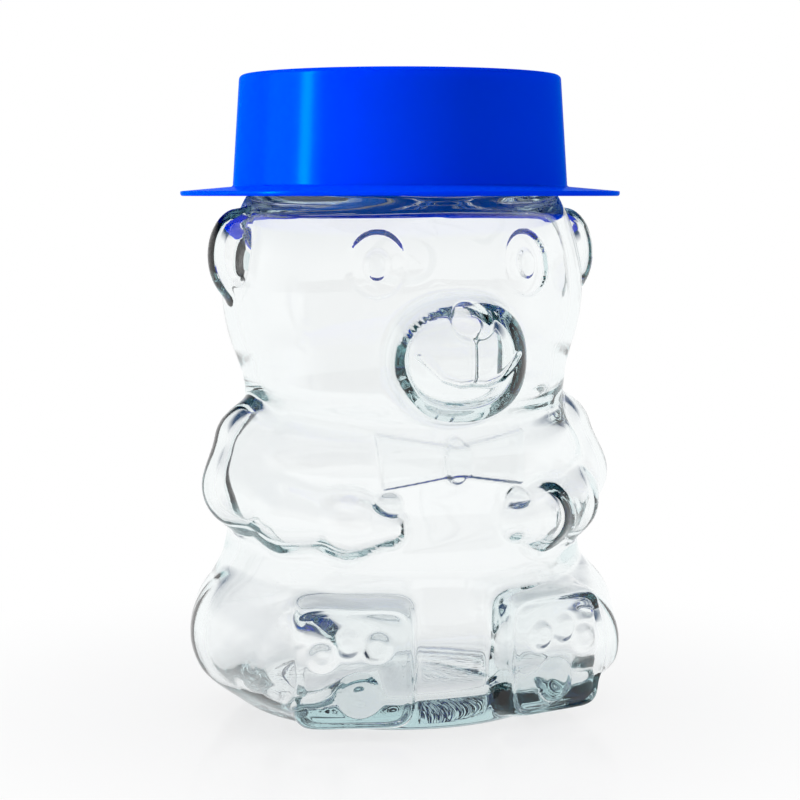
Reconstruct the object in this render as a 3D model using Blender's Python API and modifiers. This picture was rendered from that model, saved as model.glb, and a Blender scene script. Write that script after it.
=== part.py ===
"""Glass honey jar in the shape of a sitting bear, closed by a lug cap under a brimmed hat.

Lengths are in metres. The origin is the centre of the jar's base, +Z is up and the bear faces -Y.
Forms that come in pairs are given once, for the +X side, and the jar is the same on both sides.
"""

import math
from dataclasses import dataclass

import bmesh
import bpy
import numpy as np
from mathutils import Matrix

# General clearances, the overrun of every cut and the reach within which points are one
CLEARANCE = 0.0003
OVERRUN = 0.002
SAME_POINT = 0.000003

# Glass finish, which is the jar's neck above the shoulder
SHOULDER_LEVEL = 0.1081
SHOULDER_DEPTH = 0.0160
FINISH_WIDTH = 0.0594
FINISH_HEIGHT = 0.0104
FINISH_SUNK = 0.0030
RIM_WALL = 0.00275
RIM_ROUND = 0.0009
TRANSFER_BEAD_PROUD = 0.00135
TRANSFER_BEAD_HEIGHT = 0.0014
TRANSFER_BEAD_SUNK = 0.0002
THREAD_COUNT = 4
THREAD_LEAD = 0.0140
THREAD_SWEEP = math.radians(75)
THREAD_RISE = 0.0030
THREAD_THICK = 0.0013
THREAD_PROUD = 0.0014

# Lug cap, pressed from sheet
CAP_SHEET = 0.0002
CAP_PLAY = 0.0012
CAP_HEIGHT = 0.0106
CAP_PANEL_MARGIN = 0.0028
CAP_PANEL_SUNK = 0.0008
CAP_SHOULDER_ROUND = 0.0014
CURL_ROUND = 0.0005
LUG_LENGTH = 0.0085
LUG_PLAY = 0.00045
LUG_THICK = 0.0010
LUG_ENGAGED = math.radians(18)

# Sealing ring
RING_OVERHANG = 0.00155
RING_THICK = 0.0008

# Hat
BRIM_REACH = 0.0109
BRIM_DROP = 0.0011
BRIM_THICK = 0.0013
BRIM_DROOP = 0.0007
CROWN_PLAY = 0.0010
CROWN_ROOM = 0.0104
CROWN_TAPER = 0.0030
CROWN_ROUND = 0.0010
HAT_WALL = 0.0015
GRIP_RIB_COUNT = 8
GRIP_RIB_THICK = 0.0012
STOP_RIB_LENGTH = 0.0045

# Head, which stands out round the neck of the glass
HEAD_WIDTH = 0.0766
HEAD_OVER_FINISH = 0.0061
HEAD_HEIGHT = 0.0738
HEAD_LEVEL = 0.0883
BODY_FORWARD = 0.0020
NECK_WIDTH = 0.0640
NECK_DEPTH = 0.0590
NECK_HEIGHT = 0.0240
NECK_LEVEL = 0.0680
NECK_FORWARD = 0.0045

# Torso, belly, hips and base
TORSO_WIDTH = 0.0800
TORSO_DEPTH = 0.0630
TORSO_HEIGHT = 0.0450
TORSO_LEVEL = 0.0510
BELLY_WIDTH = 0.0745
BELLY_DEPTH = 0.0650
BELLY_HEIGHT = 0.0440
BELLY_LEVEL = 0.0358
HIP_WIDTH = 0.0905
HIP_DEPTH = 0.0640
HIP_HEIGHT = 0.0520
HIP_LEVEL = 0.0174
BASE_WIDTH = 0.0635
BASE_HEIGHT = 0.0270
BASE_LEVEL = 0.0047
HEEL_ROUND = 0.0016
HEEL_SLOPE = math.radians(57)

# Ears
EAR_WIDTH = 0.0130
EAR_DEPTH = 0.0110
EAR_HEIGHT = 0.0192
EAR_SPREAD = 0.0718
EAR_LEVEL = 0.0950
EAR_FORWARD = 0.0036
EAR_CUP_WIDTH = 0.0060
EAR_CUP_HEIGHT = 0.0130
EAR_CUP_DEPTH = 0.0024

# Eyes
EYE_WIDTH = 0.0112
EYE_HEIGHT = 0.0128
EYE_SUNK = 0.0016
EYE_SPREAD = 0.0317
EYE_LEVEL = 0.0937
EYE_TURN = math.radians(21)
PUPIL_WIDTH = 0.0042
PUPIL_HEIGHT = 0.0052
PUPIL_PROUD = 0.0008

# Muzzle and nose
MUZZLE_WIDTH = 0.0284
MUZZLE_HEIGHT = 0.0258
MUZZLE_PROUD = 0.0105
MUZZLE_LEVEL = 0.0752
NOSE_WIDTH = 0.0074
NOSE_HEIGHT = 0.0066
NOSE_SUNK = 0.0020
NOSE_LEVEL = 0.0829

# Bow tie
KNOT_WIDTH = 0.0058
KNOT_HEIGHT = 0.0088
KNOT_PROUD = 0.0014
WING_LENGTH = 0.0152
WING_ROOT_HEIGHT = 0.0056
WING_END_HEIGHT = 0.0108
WING_SLANT_SHARE = 0.16
WING_PROUD = 0.0011
TIE_LEVEL = 0.0550
TIE_TURN = math.radians(17)

# Arms, as a bent tube from the shoulder to the hand
SHOULDER_REACH = 0.0325
SHOULDER_RISE = 0.0565
SHOULDER_FORWARD = 0.0045
SHOULDER_THICK = 0.0180
ELBOW_REACH = 0.0353
ELBOW_RISE = 0.0483
ELBOW_FORWARD = 0.0062
ELBOW_THICK = 0.0170
FOREARM_REACH = 0.0293
FOREARM_RISE = 0.0437
FOREARM_FORWARD = 0.0180
FOREARM_THICK = 0.0144
WRIST_REACH = 0.0200
WRIST_RISE = 0.0423
WRIST_FORWARD = 0.0276
WRIST_THICK = 0.0132
HAND_REACH = 0.0132
HAND_RISE = 0.0417
HAND_FORWARD = 0.0308
HAND_THICK = 0.0088
THUMB_RISE = 0.0464
THUMB_REACH = 0.0134
THUMB_FORWARD = 0.0316
THUMB_THICK = 0.0052

# Legs and feet
THIGH_PROUD = 0.0010
THIGH_FORWARD = 0.0050
THIGH_THICK = 0.0246
THIGH_LEVEL = 0.0174
SHIN_REACH = 0.0278
SHIN_FORWARD = 0.0210
SHIN_THICK = 0.0250
SHIN_LEVEL = 0.0148
FOOT_WIDTH = 0.0244
FOOT_HEIGHT = 0.0256
FOOT_LENGTH = 0.0300
SOLE_SPREAD = 0.0438
SOLE_FORWARD = 0.0356
SOLE_LEVEL = 0.0150
SOLE_TURN = math.radians(15)
SOLE_BORDER = 0.0016
SOLE_SUNK = 0.0010
PAD_WIDTH = 0.0088
PAD_PROUD = 0.0008
TOE_WIDTH = 0.0042

# Places of the pads on a sole, outwards and up from its centre, as shares of half its width and height
PAD_SHARES = (-0.08, -0.40)
TOE_SHARES = ((-0.36, 0.34), (0.11, 0.40), (0.52, 0.20))

# How square an outline is: two is an oval, and more is squarer
OVAL_POWER = 2.0
SOFT_POWER = 2.3
BLOCK_POWER = 7.0

# How softly forms run into each other
MASS_ROUND = 0.0060
FOLD_ROUND = 0.0030
CREASE_ROUND = 0.0018
EDGE_ROUND = 0.0005
EDGE_SLOPE = 0.0012
RELIEF_DEPTH = 0.0160
SHOULDER_ROUND = 0.0030
THIN_REACH = 1
EVENED_LEVELS = 3
EVENED_SIDES = 2

# Glass
WALL = 0.0025
FLOOR_LEVEL = 0.0054
FLOOR_ROUND = 0.0080
STAND_RING = 0.0058
PUNT_HEIGHT = 0.0028
PUNT_STEPS = 4

# The rounding of a thin edge, as a share of its thickness
CORNER_SHARE = 0.33

# Facets
JAR_SIDES = 120
JAR_LEVELS = 150
CAVITY_SIDES = 72
CAVITY_LEVELS = 60
FRONT_SHARE = 0.40
JAR_FACES_SHARE = 0.165
CAVITY_FACES_SHARE = 0.20
FINISH_SIDES = 48
CAP_SIDES = 48
HAT_SIDES = 64
CORNER_STEPS = 2
SHARP_ANGLE = math.radians(35)
CURL_STEPS = 7
THREAD_STEPS = 9
MARCH_STEPS = 60
MARCH_SHARE = 0.85

# Sizes and levels that follow from those above
HEAD_DEPTH = FINISH_WIDTH + HEAD_OVER_FINISH
THIGH_REACH = (HIP_WIDTH - THIGH_THICK) / 2 + THIGH_PROUD
PUNT_WIDTH = BASE_WIDTH - 2 * STAND_RING
MOUTH_WIDTH = FINISH_WIDTH - 2 * RIM_WALL
RIM_LEVEL = SHOULDER_LEVEL + FINISH_HEIGHT
FINISH_ROOT_LEVEL = SHOULDER_LEVEL - FINISH_SUNK
TRANSFER_BEAD_LEVEL = SHOULDER_LEVEL - TRANSFER_BEAD_SUNK
THREAD_LEVEL = SHOULDER_LEVEL + THREAD_RISE
RING_BORE = MOUTH_WIDTH + CLEARANCE
RING_WIDTH = FINISH_WIDTH + 2 * RING_OVERHANG
RING_LEVEL = RIM_LEVEL + CLEARANCE
CAP_WIDTH = FINISH_WIDTH + 2 * (THREAD_PROUD + CAP_PLAY + CAP_SHEET)
CAP_PANEL_WIDTH = RING_BORE - 2 * CAP_PANEL_MARGIN
CAP_TOP = RING_LEVEL + RING_THICK + CLEARANCE + CAP_SHEET
CAP_BOTTOM = CAP_TOP - CAP_HEIGHT
CROWN_WIDTH = CAP_WIDTH + 2 * (CROWN_PLAY + HAT_WALL)
BRIM_WIDTH = CROWN_WIDTH + 2 * BRIM_REACH
BRIM_LEVEL = SHOULDER_LEVEL - BRIM_DROP
CROWN_LEVEL = BRIM_LEVEL + BRIM_THICK + BRIM_DROOP
CEILING_LEVEL = CAP_TOP + CROWN_ROOM
HAT_TOP = CEILING_LEVEL + HAT_WALL


# Distances to round forms, positive outside


def frame_of(points, middle, turn):
    """The points as seen from a form: across it, through it and up it."""
    away = points - np.array(middle)
    cosine = math.cos(turn)
    sine = math.sin(turn)
    across = cosine * away[:, 0] + sine * away[:, 1]
    through = cosine * away[:, 1] - sine * away[:, 0]
    return np.stack([across, through, away[:, 2]], axis=1)


@dataclass(frozen=True)
class Egg:
    """An egg of these full sizes. A power over 2 makes it squarer."""

    middle: tuple
    size: tuple
    power: float = OVAL_POWER
    turn: float = 0.0

    def distance(self, points):
        halves = np.array(self.size) / 2
        share = np.abs(frame_of(points, self.middle, self.turn)) / halves
        reach = (share**self.power).sum(axis=1) ** (1 / self.power)
        reach = np.maximum(reach, CLEARANCE)
        slope = (share / reach[:, None]) ** (self.power - 1) / halves
        return (reach - 1) / np.linalg.norm(slope, axis=1)


@dataclass(frozen=True)
class Limb:
    """A tube with round ends that tapers from one thickness to another."""

    start: tuple
    end: tuple
    start_thick: float
    end_thick: float

    def distance(self, points):
        start = np.array(self.start)
        run = np.array(self.end) - start
        along = np.clip((points - start) @ run / (run @ run), 0, 1)
        thick = self.start_thick + (self.end_thick - self.start_thick) * along
        return np.linalg.norm(points - start - along[:, None] * run, axis=1) - thick / 2


@dataclass(frozen=True)
class Relief:
    """A flat outline pressed into or out of the surface that lies in front of its middle."""

    middle: tuple
    width: float
    height: float
    proud: float
    turn: float = 0.0
    power: float = OVAL_POWER

    def outline(self, across, up):
        """The distance to the outline, an oval or a squarer form of a higher power."""
        shares = np.abs(np.stack([across / self.width, up / self.height], axis=1)) * 2
        reach = (shares**self.power).sum(axis=1) ** (1 / self.power)
        return (reach - 1) * min(self.width, self.height) / 2

    def pressed(self, body, points, slope):
        """The body with this relief, its walls as wide as the slope."""
        across, through, up = frame_of(points, self.middle, self.turn).T
        share = np.clip(1 / 2 - self.outline(across, up) / slope, 0, 1)
        share = share * share * (3 - 2 * share)
        return body - self.proud * share * (through < RELIEF_DEPTH)


@dataclass(frozen=True)
class Wing(Relief):
    """One wing of the bow tie. Its middle is at the knot, its width is its length and its far end is taller."""

    root_height: float = 0.0

    def outline(self, across, up):
        along = np.clip(across / self.width, 0, 1)
        half_height = (self.root_height + (self.height - self.root_height) * along) / 2
        return np.maximum(across - self.width - WING_SLANT_SHARE * up, np.abs(up) - half_height)


def joined(first, second, blend):
    """The distance to both forms as one, with the crease between them rounded."""
    overlap = np.clip(1 / 2 + (second - first) / (2 * blend), 0, 1)
    return second + (first - second) * overlap - blend * overlap * (1 - overlap)


def carved(body, cut, blend):
    """The distance to a body with a form taken out of it, and the edge rounded."""
    return -joined(-body, cut, blend)


def main_masses():
    """The large rounded masses, from the head to the base."""
    middle = (0, -BODY_FORWARD)
    return [
        Egg((*middle, HEAD_LEVEL), (HEAD_WIDTH, HEAD_DEPTH, HEAD_HEIGHT)),
        Egg((0, -NECK_FORWARD, NECK_LEVEL), (NECK_WIDTH, NECK_DEPTH, NECK_HEIGHT)),
        Egg((*middle, TORSO_LEVEL), (TORSO_WIDTH, TORSO_DEPTH, TORSO_HEIGHT)),
        Egg((*middle, BELLY_LEVEL), (BELLY_WIDTH, BELLY_DEPTH, BELLY_HEIGHT)),
        Egg((0, 0, HIP_LEVEL), (HIP_WIDTH, HIP_DEPTH, HIP_HEIGHT)),
        Egg((0, 0, BASE_LEVEL), (BASE_WIDTH, BASE_WIDTH, BASE_HEIGHT)),
    ]


def arm():
    """The arm's tube, bent round the side of the torso."""
    joints = [
        ((SHOULDER_REACH, -SHOULDER_FORWARD, SHOULDER_RISE), SHOULDER_THICK),
        ((ELBOW_REACH, -ELBOW_FORWARD, ELBOW_RISE), ELBOW_THICK),
        ((FOREARM_REACH, -FOREARM_FORWARD, FOREARM_RISE), FOREARM_THICK),
        ((WRIST_REACH, -WRIST_FORWARD, WRIST_RISE), WRIST_THICK),
    ]
    return [Limb(a, b, thick, next_thick) for (a, thick), (b, next_thick) in zip(joints, joints[1:])]


def leg():
    """The thigh and the shin behind the foot."""
    hip = (THIGH_REACH, -THIGH_FORWARD, THIGH_LEVEL)
    ankle = (SHIN_REACH, -SHIN_FORWARD, SHIN_LEVEL)
    return Limb(hip, ankle, THIGH_THICK, SHIN_THICK)


def on_sole(outwards, up, depth):
    """A point of the sole, outwards and up from its centre and into it."""
    across = outwards * math.cos(SOLE_TURN) - depth * math.sin(SOLE_TURN)
    back = outwards * math.sin(SOLE_TURN) + depth * math.cos(SOLE_TURN)
    return (SOLE_SPREAD / 2 + across, back - SOLE_FORWARD, SOLE_LEVEL + up)


def foot():
    """The foot's block, whose front is the sole."""
    return Egg(on_sole(0, 0, FOOT_LENGTH / 2), (FOOT_WIDTH, FOOT_LENGTH, FOOT_HEIGHT), BLOCK_POWER, SOLE_TURN)


def head_surface(reach, level):
    """How far forward the front of the head lies, at this reach from its middle and this level."""
    share = 1 - (2 * reach / HEAD_WIDTH) ** 2 - (2 * (level - HEAD_LEVEL) / HEAD_HEIGHT) ** 2
    return -BODY_FORWARD - HEAD_DEPTH / 2 * math.sqrt(max(share, 0))


def chest_surface(reach, level):
    """How far forward the front of the torso lies."""
    share = 1 - (2 * reach / TORSO_WIDTH) ** 2 - (2 * (level - TORSO_LEVEL) / TORSO_HEIGHT) ** 2
    return -BODY_FORWARD - TORSO_DEPTH / 2 * math.sqrt(max(share, 0))


def face(body, points):
    """The body with its muzzle, nose, eyes and ears."""
    root = head_surface(0, MUZZLE_LEVEL)
    muzzle_size = (MUZZLE_WIDTH, 2 * MUZZLE_PROUD, MUZZLE_HEIGHT)
    body = joined(body, Egg((0, root, MUZZLE_LEVEL), muzzle_size, SOFT_POWER).distance(points), CREASE_ROUND)
    nose = Relief((0, root, NOSE_LEVEL), NOSE_WIDTH, NOSE_HEIGHT, -NOSE_SUNK)
    body = nose.pressed(body, points, NOSE_SUNK)
    eye_middle = (EYE_SPREAD / 2, head_surface(EYE_SPREAD / 2, EYE_LEVEL), EYE_LEVEL)
    socket = Relief(eye_middle, EYE_WIDTH, EYE_HEIGHT, -EYE_SUNK, EYE_TURN)
    pupil = Relief(eye_middle, PUPIL_WIDTH, PUPIL_HEIGHT, PUPIL_PROUD, EYE_TURN)
    body = socket.pressed(body, points, EYE_SUNK)
    body = pupil.pressed(body, points, EYE_SUNK)
    ear_middle = (EAR_SPREAD / 2, -EAR_FORWARD, EAR_LEVEL)
    ear = Egg(ear_middle, (EAR_WIDTH, EAR_DEPTH, EAR_HEIGHT))
    body = joined(body, ear.distance(points), CREASE_ROUND)
    cup_middle = (EAR_SPREAD / 2 + EAR_CUP_WIDTH / 4, -EAR_FORWARD - EAR_DEPTH / 2, EAR_LEVEL)
    cup = Egg(cup_middle, (EAR_CUP_WIDTH, 2 * EAR_CUP_DEPTH, EAR_CUP_HEIGHT))
    return carved(body, cup.distance(points), EDGE_ROUND)


def bow_tie(body, points):
    """The body with the bow tie on its chest."""
    middle = (0, chest_surface(0, TIE_LEVEL), TIE_LEVEL)
    wing = Wing(middle, WING_LENGTH, WING_END_HEIGHT, WING_PROUD, TIE_TURN, root_height=WING_ROOT_HEIGHT)
    knot = Relief(middle, KNOT_WIDTH, KNOT_HEIGHT, KNOT_PROUD)
    body = wing.pressed(body, points, EDGE_SLOPE)
    return knot.pressed(body, points, EDGE_SLOPE)


def hands(body, points):
    """The body with its arms, and with the fingers and the thumb at their ends."""
    for piece in arm():
        body = joined(body, piece.distance(points), FOLD_ROUND)
    wrist = (WRIST_REACH, -WRIST_FORWARD, WRIST_RISE)
    fingers = Limb(wrist, (HAND_REACH, -HAND_FORWARD, HAND_RISE), WRIST_THICK, HAND_THICK)
    thumb = Limb(wrist, (THUMB_REACH, -THUMB_FORWARD, THUMB_RISE), THUMB_THICK, THUMB_THICK)
    body = joined(body, fingers.distance(points), EDGE_ROUND)
    return joined(body, thumb.distance(points), EDGE_ROUND)


def soles(body, points):
    """The body with its feet, the sunk soles and their raised pads."""
    body = joined(body, foot().distance(points), CREASE_ROUND)
    panel = Relief(on_sole(0, 0, 0), FOOT_WIDTH - 2 * SOLE_BORDER, FOOT_HEIGHT - 2 * SOLE_BORDER,
                   -SOLE_SUNK, SOLE_TURN, BLOCK_POWER)
    body = panel.pressed(body, points, SOLE_SUNK)
    pads = [(PAD_SHARES, PAD_WIDTH)] + [(shares, TOE_WIDTH) for shares in TOE_SHARES]
    for (outwards, up), width in pads:
        middle = on_sole(outwards * FOOT_WIDTH / 2, up * FOOT_HEIGHT / 2, 0)
        body = Relief(middle, width, width, PAD_PROUD, SOLE_TURN).pressed(body, points, EDGE_SLOPE)
    return body


def on_one_side(points):
    """The points brought over to the +X side, which makes the two sides the same."""
    folded = points.copy()
    folded[:, 0] = np.abs(folded[:, 0])
    return folded


def heel(points):
    """The distance to the cone in which the body draws in below."""
    reach = np.hypot(points[:, 0], points[:, 1]) - BASE_WIDTH / 2
    return reach * math.cos(HEEL_SLOPE) - points[:, 2] * math.sin(HEEL_SLOPE)


def outside(points):
    """The distance to the jar's outer surface."""
    folded = on_one_side(points)
    masses = main_masses()
    body = masses[0].distance(folded)
    for mass in masses[1:]:
        body = joined(body, mass.distance(folded), MASS_ROUND)
    neck_root = Egg((0, 0, SHOULDER_LEVEL), (FINISH_WIDTH, FINISH_WIDTH, SHOULDER_DEPTH), SOFT_POWER)
    body = joined(body, neck_root.distance(folded), CREASE_ROUND)
    body = joined(body, leg().distance(folded), FOLD_ROUND)
    body = carved(body, -heel(points), CREASE_ROUND)
    body = soles(body, folded)
    body = hands(body, folded)
    body = bow_tie(body, folded)
    return face(body, folded)


# Loft through level rings


def bearings(sides):
    """Directions round the axis from the front, closer together at the front."""
    turns = np.arange(sides) / sides * 2 * np.pi
    return turns - FRONT_SHARE * np.sin(turns)


def ring_radii(sides, levels):
    """How far the outer surface lies from the axis, one row for each level, found from outside."""
    turns = bearings(sides)
    ways = np.stack([np.sin(turns), -np.cos(turns), np.zeros(sides)], axis=1)
    rows = []
    for level in levels:
        radii = np.full(sides, HIP_WIDTH)
        for _ in range(MARCH_STEPS):
            points = ways * radii[:, None]
            points[:, 2] = level
            radii = radii - MARCH_SHARE * outside(points)
        rows.append(radii)
    return np.array(rows)


def evened(radii, axis):
    """Each radius as the mean of itself and its neighbours along one axis. The first and last rows stay."""
    after = np.roll(radii, 1, axis) + np.roll(radii, -1, axis)
    mean = radii / 2 + after / 4
    if axis == 0:
        mean[0] = radii[0]
        mean[-1] = radii[-1]
    return mean


def softened(radii):
    """The radii of a softer surface just within this one."""
    rows = np.pad(radii, ((THIN_REACH, THIN_REACH), (0, 0)), mode="edge")
    least = radii
    for step in range(2 * THIN_REACH + 1):
        least = np.minimum(least, rows[step:step + len(radii)])
    for step in range(-THIN_REACH, THIN_REACH + 1):
        least = np.minimum(least, np.roll(radii, step, 1))
    for _ in range(EVENED_LEVELS):
        least = evened(least, 0)
    for _ in range(EVENED_SIDES):
        least = evened(least, 1)
    return least


def end_inset(level, bottom, top, bottom_round, top_round):
    """How far a ring draws in where the loft's lower and upper ends are rounded."""
    inset = 0
    for gap, radius in ((level - bottom, bottom_round), (top - level, top_round)):
        if gap < radius:
            rest = min(radius - gap, radius)
            inset += radius - math.sqrt(radius**2 - rest**2)
    return inset


def lofted(name, radii, levels, roundings):
    """A closed mesh through rings of these radii at these levels, its two ends rounded."""
    turns = bearings(radii.shape[1])
    shape = bmesh.new()
    rows = []
    for level, row in zip(levels, radii):
        reach = row - end_inset(level, levels[0], levels[-1], *roundings)
        rows.append([shape.verts.new((r * math.sin(turn), -r * math.cos(turn), level))
                     for r, turn in zip(reach, turns)])
    for lower, upper in zip(rows, rows[1:]):
        for i in range(len(turns)):
            shape.faces.new((lower[i - 1], lower[i], upper[i], upper[i - 1]))
    shape.faces.new(reversed(rows[0]))
    shape.faces.new(rows[-1])
    return object_of(name, shape)


def object_of(name, shape):
    """A new object that holds this shape."""
    mesh = bpy.data.meshes.new(name)
    bmesh.ops.recalc_face_normals(shape, faces=shape.faces[:])
    shape.to_mesh(mesh)
    shape.free()
    return bpy.data.objects.new(name, mesh)


# Collections, materials and modifiers


def new_collection(name):
    group = bpy.data.collections.new(name)
    bpy.context.scene.collection.children.link(group)
    return group


def smooth(part):
    """Shades a round piece smooth but for its sharp edges."""
    part.data.shade_smooth()
    part.data.set_sharp_from_angle(angle=SHARP_ANGLE)


def principled(name, colour, **values):
    """A material with this colour and these values on its shader's own sockets."""
    material = bpy.data.materials.new(name)
    material.use_nodes = True
    shader = material.node_tree.nodes["Principled BSDF"]
    shader.inputs["Base Color"].default_value = (*colour, 1)
    for socket, value in values.items():
        shader.inputs[socket.replace("_", " ")].default_value = value
    return material


def clear_glass():
    return principled("clear_glass", (0.93, 0.98, 0.96), Roughness=0.02, Transmission_Weight=1.0, IOR=1.52)


def blue_plastic():
    return principled("blue_plastic", (0.0, 0.045, 0.78), Roughness=0.32, IOR=1.49)


def lacquered_tinplate():
    return principled("lacquered_tinplate", (0.0, 0.12, 0.62), Roughness=0.30, Metallic=0.3)


def sealing_compound():
    return principled("sealing_compound", (0.86, 0.84, 0.78), Roughness=0.55)


def boolean(part, operation, other):
    """Joins, cuts or keeps what is common with another object."""
    change = part.modifiers.new(f"{operation.lower()}_{other.name}", "BOOLEAN")
    change.operation = operation
    change.object = other
    change.solver = "EXACT"


def cutter(part, cutters):
    """Makes an object a hidden helper."""
    cutters.objects.link(part)
    part.hide_render = True
    part.display_type = "WIRE"
    return part


# Turned shapes


def rounded(corners):
    """An open outline through corners of radius, level and rounding, each rounded corner as an arc."""
    outline = []
    for i, (radius, level, rounding) in enumerate(corners):
        corner = np.array([radius, level])
        if not rounding:
            outline.append(corner)
            continue
        before = np.array(corners[i - 1][:2]) - corner
        after = np.array(corners[i + 1][:2]) - corner
        before = before / np.linalg.norm(before)
        after = after / np.linalg.norm(after)
        half_angle = math.acos(np.clip(before @ after, -1, 1)) / 2
        reach = rounding / math.tan(half_angle)
        bisector = (before + after) / np.linalg.norm(before + after)
        middle = corner + bisector * rounding / math.sin(half_angle)
        start = corner + before * reach - middle
        end = corner + after * reach - middle
        sweep = math.atan2(start[0] * end[1] - start[1] * end[0], start @ end)
        for step in range(CORNER_STEPS + 1):
            angle = sweep * step / CORNER_STEPS
            turn = np.array([[math.cos(angle), -math.sin(angle)], [math.sin(angle), math.cos(angle)]])
            outline.append(middle + turn @ start)
    return outline


def turned(name, outline, sides):
    """A profile at +X turned about the axis."""
    shape = bmesh.new()
    points = [shape.verts.new((radius, 0, level)) for radius, level in outline]
    for lower, upper in zip(points, points[1:]):
        shape.edges.new((lower, upper))
    mesh = bpy.data.meshes.new(name)
    shape.to_mesh(mesh)
    shape.free()
    part = bpy.data.objects.new(name, mesh)
    screw = part.modifiers.new("turn", "SCREW")
    screw.steps = sides
    screw.render_steps = sides
    screw.use_merge_vertices = True
    screw.merge_threshold = SAME_POINT
    screw.use_smooth_shade = True
    return part


# Jar


def finish():
    """The neck above the shoulder, with its transfer bead and rounded rim."""
    radius = FINISH_WIDTH / 2
    bead = radius + TRANSFER_BEAD_PROUD
    bead_top = TRANSFER_BEAD_LEVEL + TRANSFER_BEAD_HEIGHT
    bead_round = TRANSFER_BEAD_HEIGHT * CORNER_SHARE
    return turned("finish", rounded([
        (0, RIM_LEVEL, 0),
        (radius, RIM_LEVEL, RIM_ROUND),
        (radius, bead_top, 0),
        (bead, bead_top, bead_round),
        (bead, TRANSFER_BEAD_LEVEL, bead_round),
        (radius, TRANSFER_BEAD_LEVEL, 0),
        (radius - WALL / 2, FINISH_ROOT_LEVEL, 0),
        (0, FINISH_ROOT_LEVEL, 0),
    ]), FINISH_SIDES)


def mesh_of_curve(curve):
    """The curve as a mesh object in its place, with its caps welded. The curve is removed."""
    bpy.context.view_layer.update()
    graph = bpy.context.evaluated_depsgraph_get()
    mesh = bpy.data.meshes.new_from_object(curve.evaluated_get(graph))
    shape = bmesh.new()
    shape.from_mesh(mesh)
    bmesh.ops.remove_doubles(shape, verts=shape.verts[:], dist=SAME_POINT)
    bmesh.ops.recalc_face_normals(shape, faces=shape.faces[:])
    shape.to_mesh(mesh)
    shape.free()
    name = curve.name
    curve.name = f"{name}_route"
    part = bpy.data.objects.new(name, mesh)
    part.matrix_world = curve.matrix_world.copy()
    bpy.data.objects.remove(curve)
    return part


def thread(index, cutters):
    """One short ramp of the neck's thread, as a tube half sunk in the neck."""
    data = bpy.data.curves.new(f"thread_{index}", "CURVE")
    data.dimensions = "3D"
    data.bevel_depth = THREAD_THICK / 2
    data.bevel_resolution = 1
    data.use_fill_caps = True
    spline = data.splines.new("POLY")
    spline.points.add(THREAD_STEPS)
    start = 2 * math.pi * index / THREAD_COUNT
    radius = FINISH_WIDTH / 2 + THREAD_PROUD - THREAD_THICK / 2
    for step, point in enumerate(spline.points):
        share = step / THREAD_STEPS
        angle = start + THREAD_SWEEP * share
        level = THREAD_LEVEL + THREAD_LEAD * THREAD_SWEEP / (2 * math.pi) * share
        run_out = THREAD_PROUD * (step in (0, THREAD_STEPS))
        reach = radius - run_out
        point.co = (reach * math.cos(angle), reach * math.sin(angle), level, 1)
    curve = bpy.data.objects.new(f"thread_{index}", data)
    cutters.objects.link(curve)
    return cutter(mesh_of_curve(curve), cutters)


def bear():
    """The solid bear, from just below the table up to the root of the neck."""
    levels = np.linspace(0, SHOULDER_LEVEL + CLEARANCE, JAR_LEVELS + 1)
    shape = lofted("glass_jar", ring_radii(JAR_SIDES, levels), levels, (HEEL_ROUND, CLEARANCE))
    thin = shape.modifiers.new("fewer_faces", "DECIMATE")
    thin.ratio = JAR_FACES_SHARE
    return shape


def cavity():
    """The hollow of the bear, whose surface follows the outer one more softly."""
    levels = np.linspace(FLOOR_LEVEL, SHOULDER_LEVEL - WALL / 2, CAVITY_LEVELS + 1)
    radii = softened(ring_radii(CAVITY_SIDES, levels)) - WALL
    shape = lofted("cavity", radii, levels, (FLOOR_ROUND, SHOULDER_ROUND))
    thin = shape.modifiers.new("fewer_faces", "DECIMATE")
    thin.ratio = CAVITY_FACES_SHARE
    return shape


def glass_jar(parts, cutters):
    """The bear-shaped jar, hollow to its mouth, with a hollow under its base."""
    jar = bear()
    boolean(jar, "UNION", cutter(finish(), cutters))
    for index in range(THREAD_COUNT):
        boolean(jar, "UNION", thread(index, cutters))
    boolean(jar, "DIFFERENCE", cutter(cavity(), cutters))
    mouth = turned("mouth", [
        (0, RIM_LEVEL + OVERRUN),
        (MOUTH_WIDTH / 2, RIM_LEVEL + OVERRUN),
        (MOUTH_WIDTH / 2, FINISH_ROOT_LEVEL),
        (0, FINISH_ROOT_LEVEL),
    ], FINISH_SIDES)
    boolean(jar, "DIFFERENCE", cutter(mouth, cutters))
    punt = turned("punt", [
        *((PUNT_WIDTH / 2 * math.sin(angle), PUNT_HEIGHT * math.cos(angle))
          for angle in (math.pi / 2 * step / PUNT_STEPS for step in range(PUNT_STEPS + 1))),
        (PUNT_WIDTH / 2, -OVERRUN),
        (0, -OVERRUN),
    ], FINISH_SIDES)
    boolean(jar, "DIFFERENCE", cutter(punt, cutters))
    parts.objects.link(jar)
    jar.data.materials.append(clear_glass())
    smooth(jar)
    return jar


# Cap and its ring


def sealing_ring(parts):
    """The ring of sealing compound under the cap's edge."""
    top = RING_LEVEL + RING_THICK
    outline = rounded([
        (RING_WIDTH / 2, top, 0),
        (RING_WIDTH / 2, RING_LEVEL, RING_THICK * CORNER_SHARE),
        (RING_BORE / 2, RING_LEVEL, RING_THICK * CORNER_SHARE),
        (RING_BORE / 2, top, 0),
        (RING_WIDTH / 2, top, 0),
    ])
    ring = turned("sealing_ring", outline, CAP_SIDES)
    parts.objects.link(ring)
    ring.data.materials.append(sealing_compound())
    return ring


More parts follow.
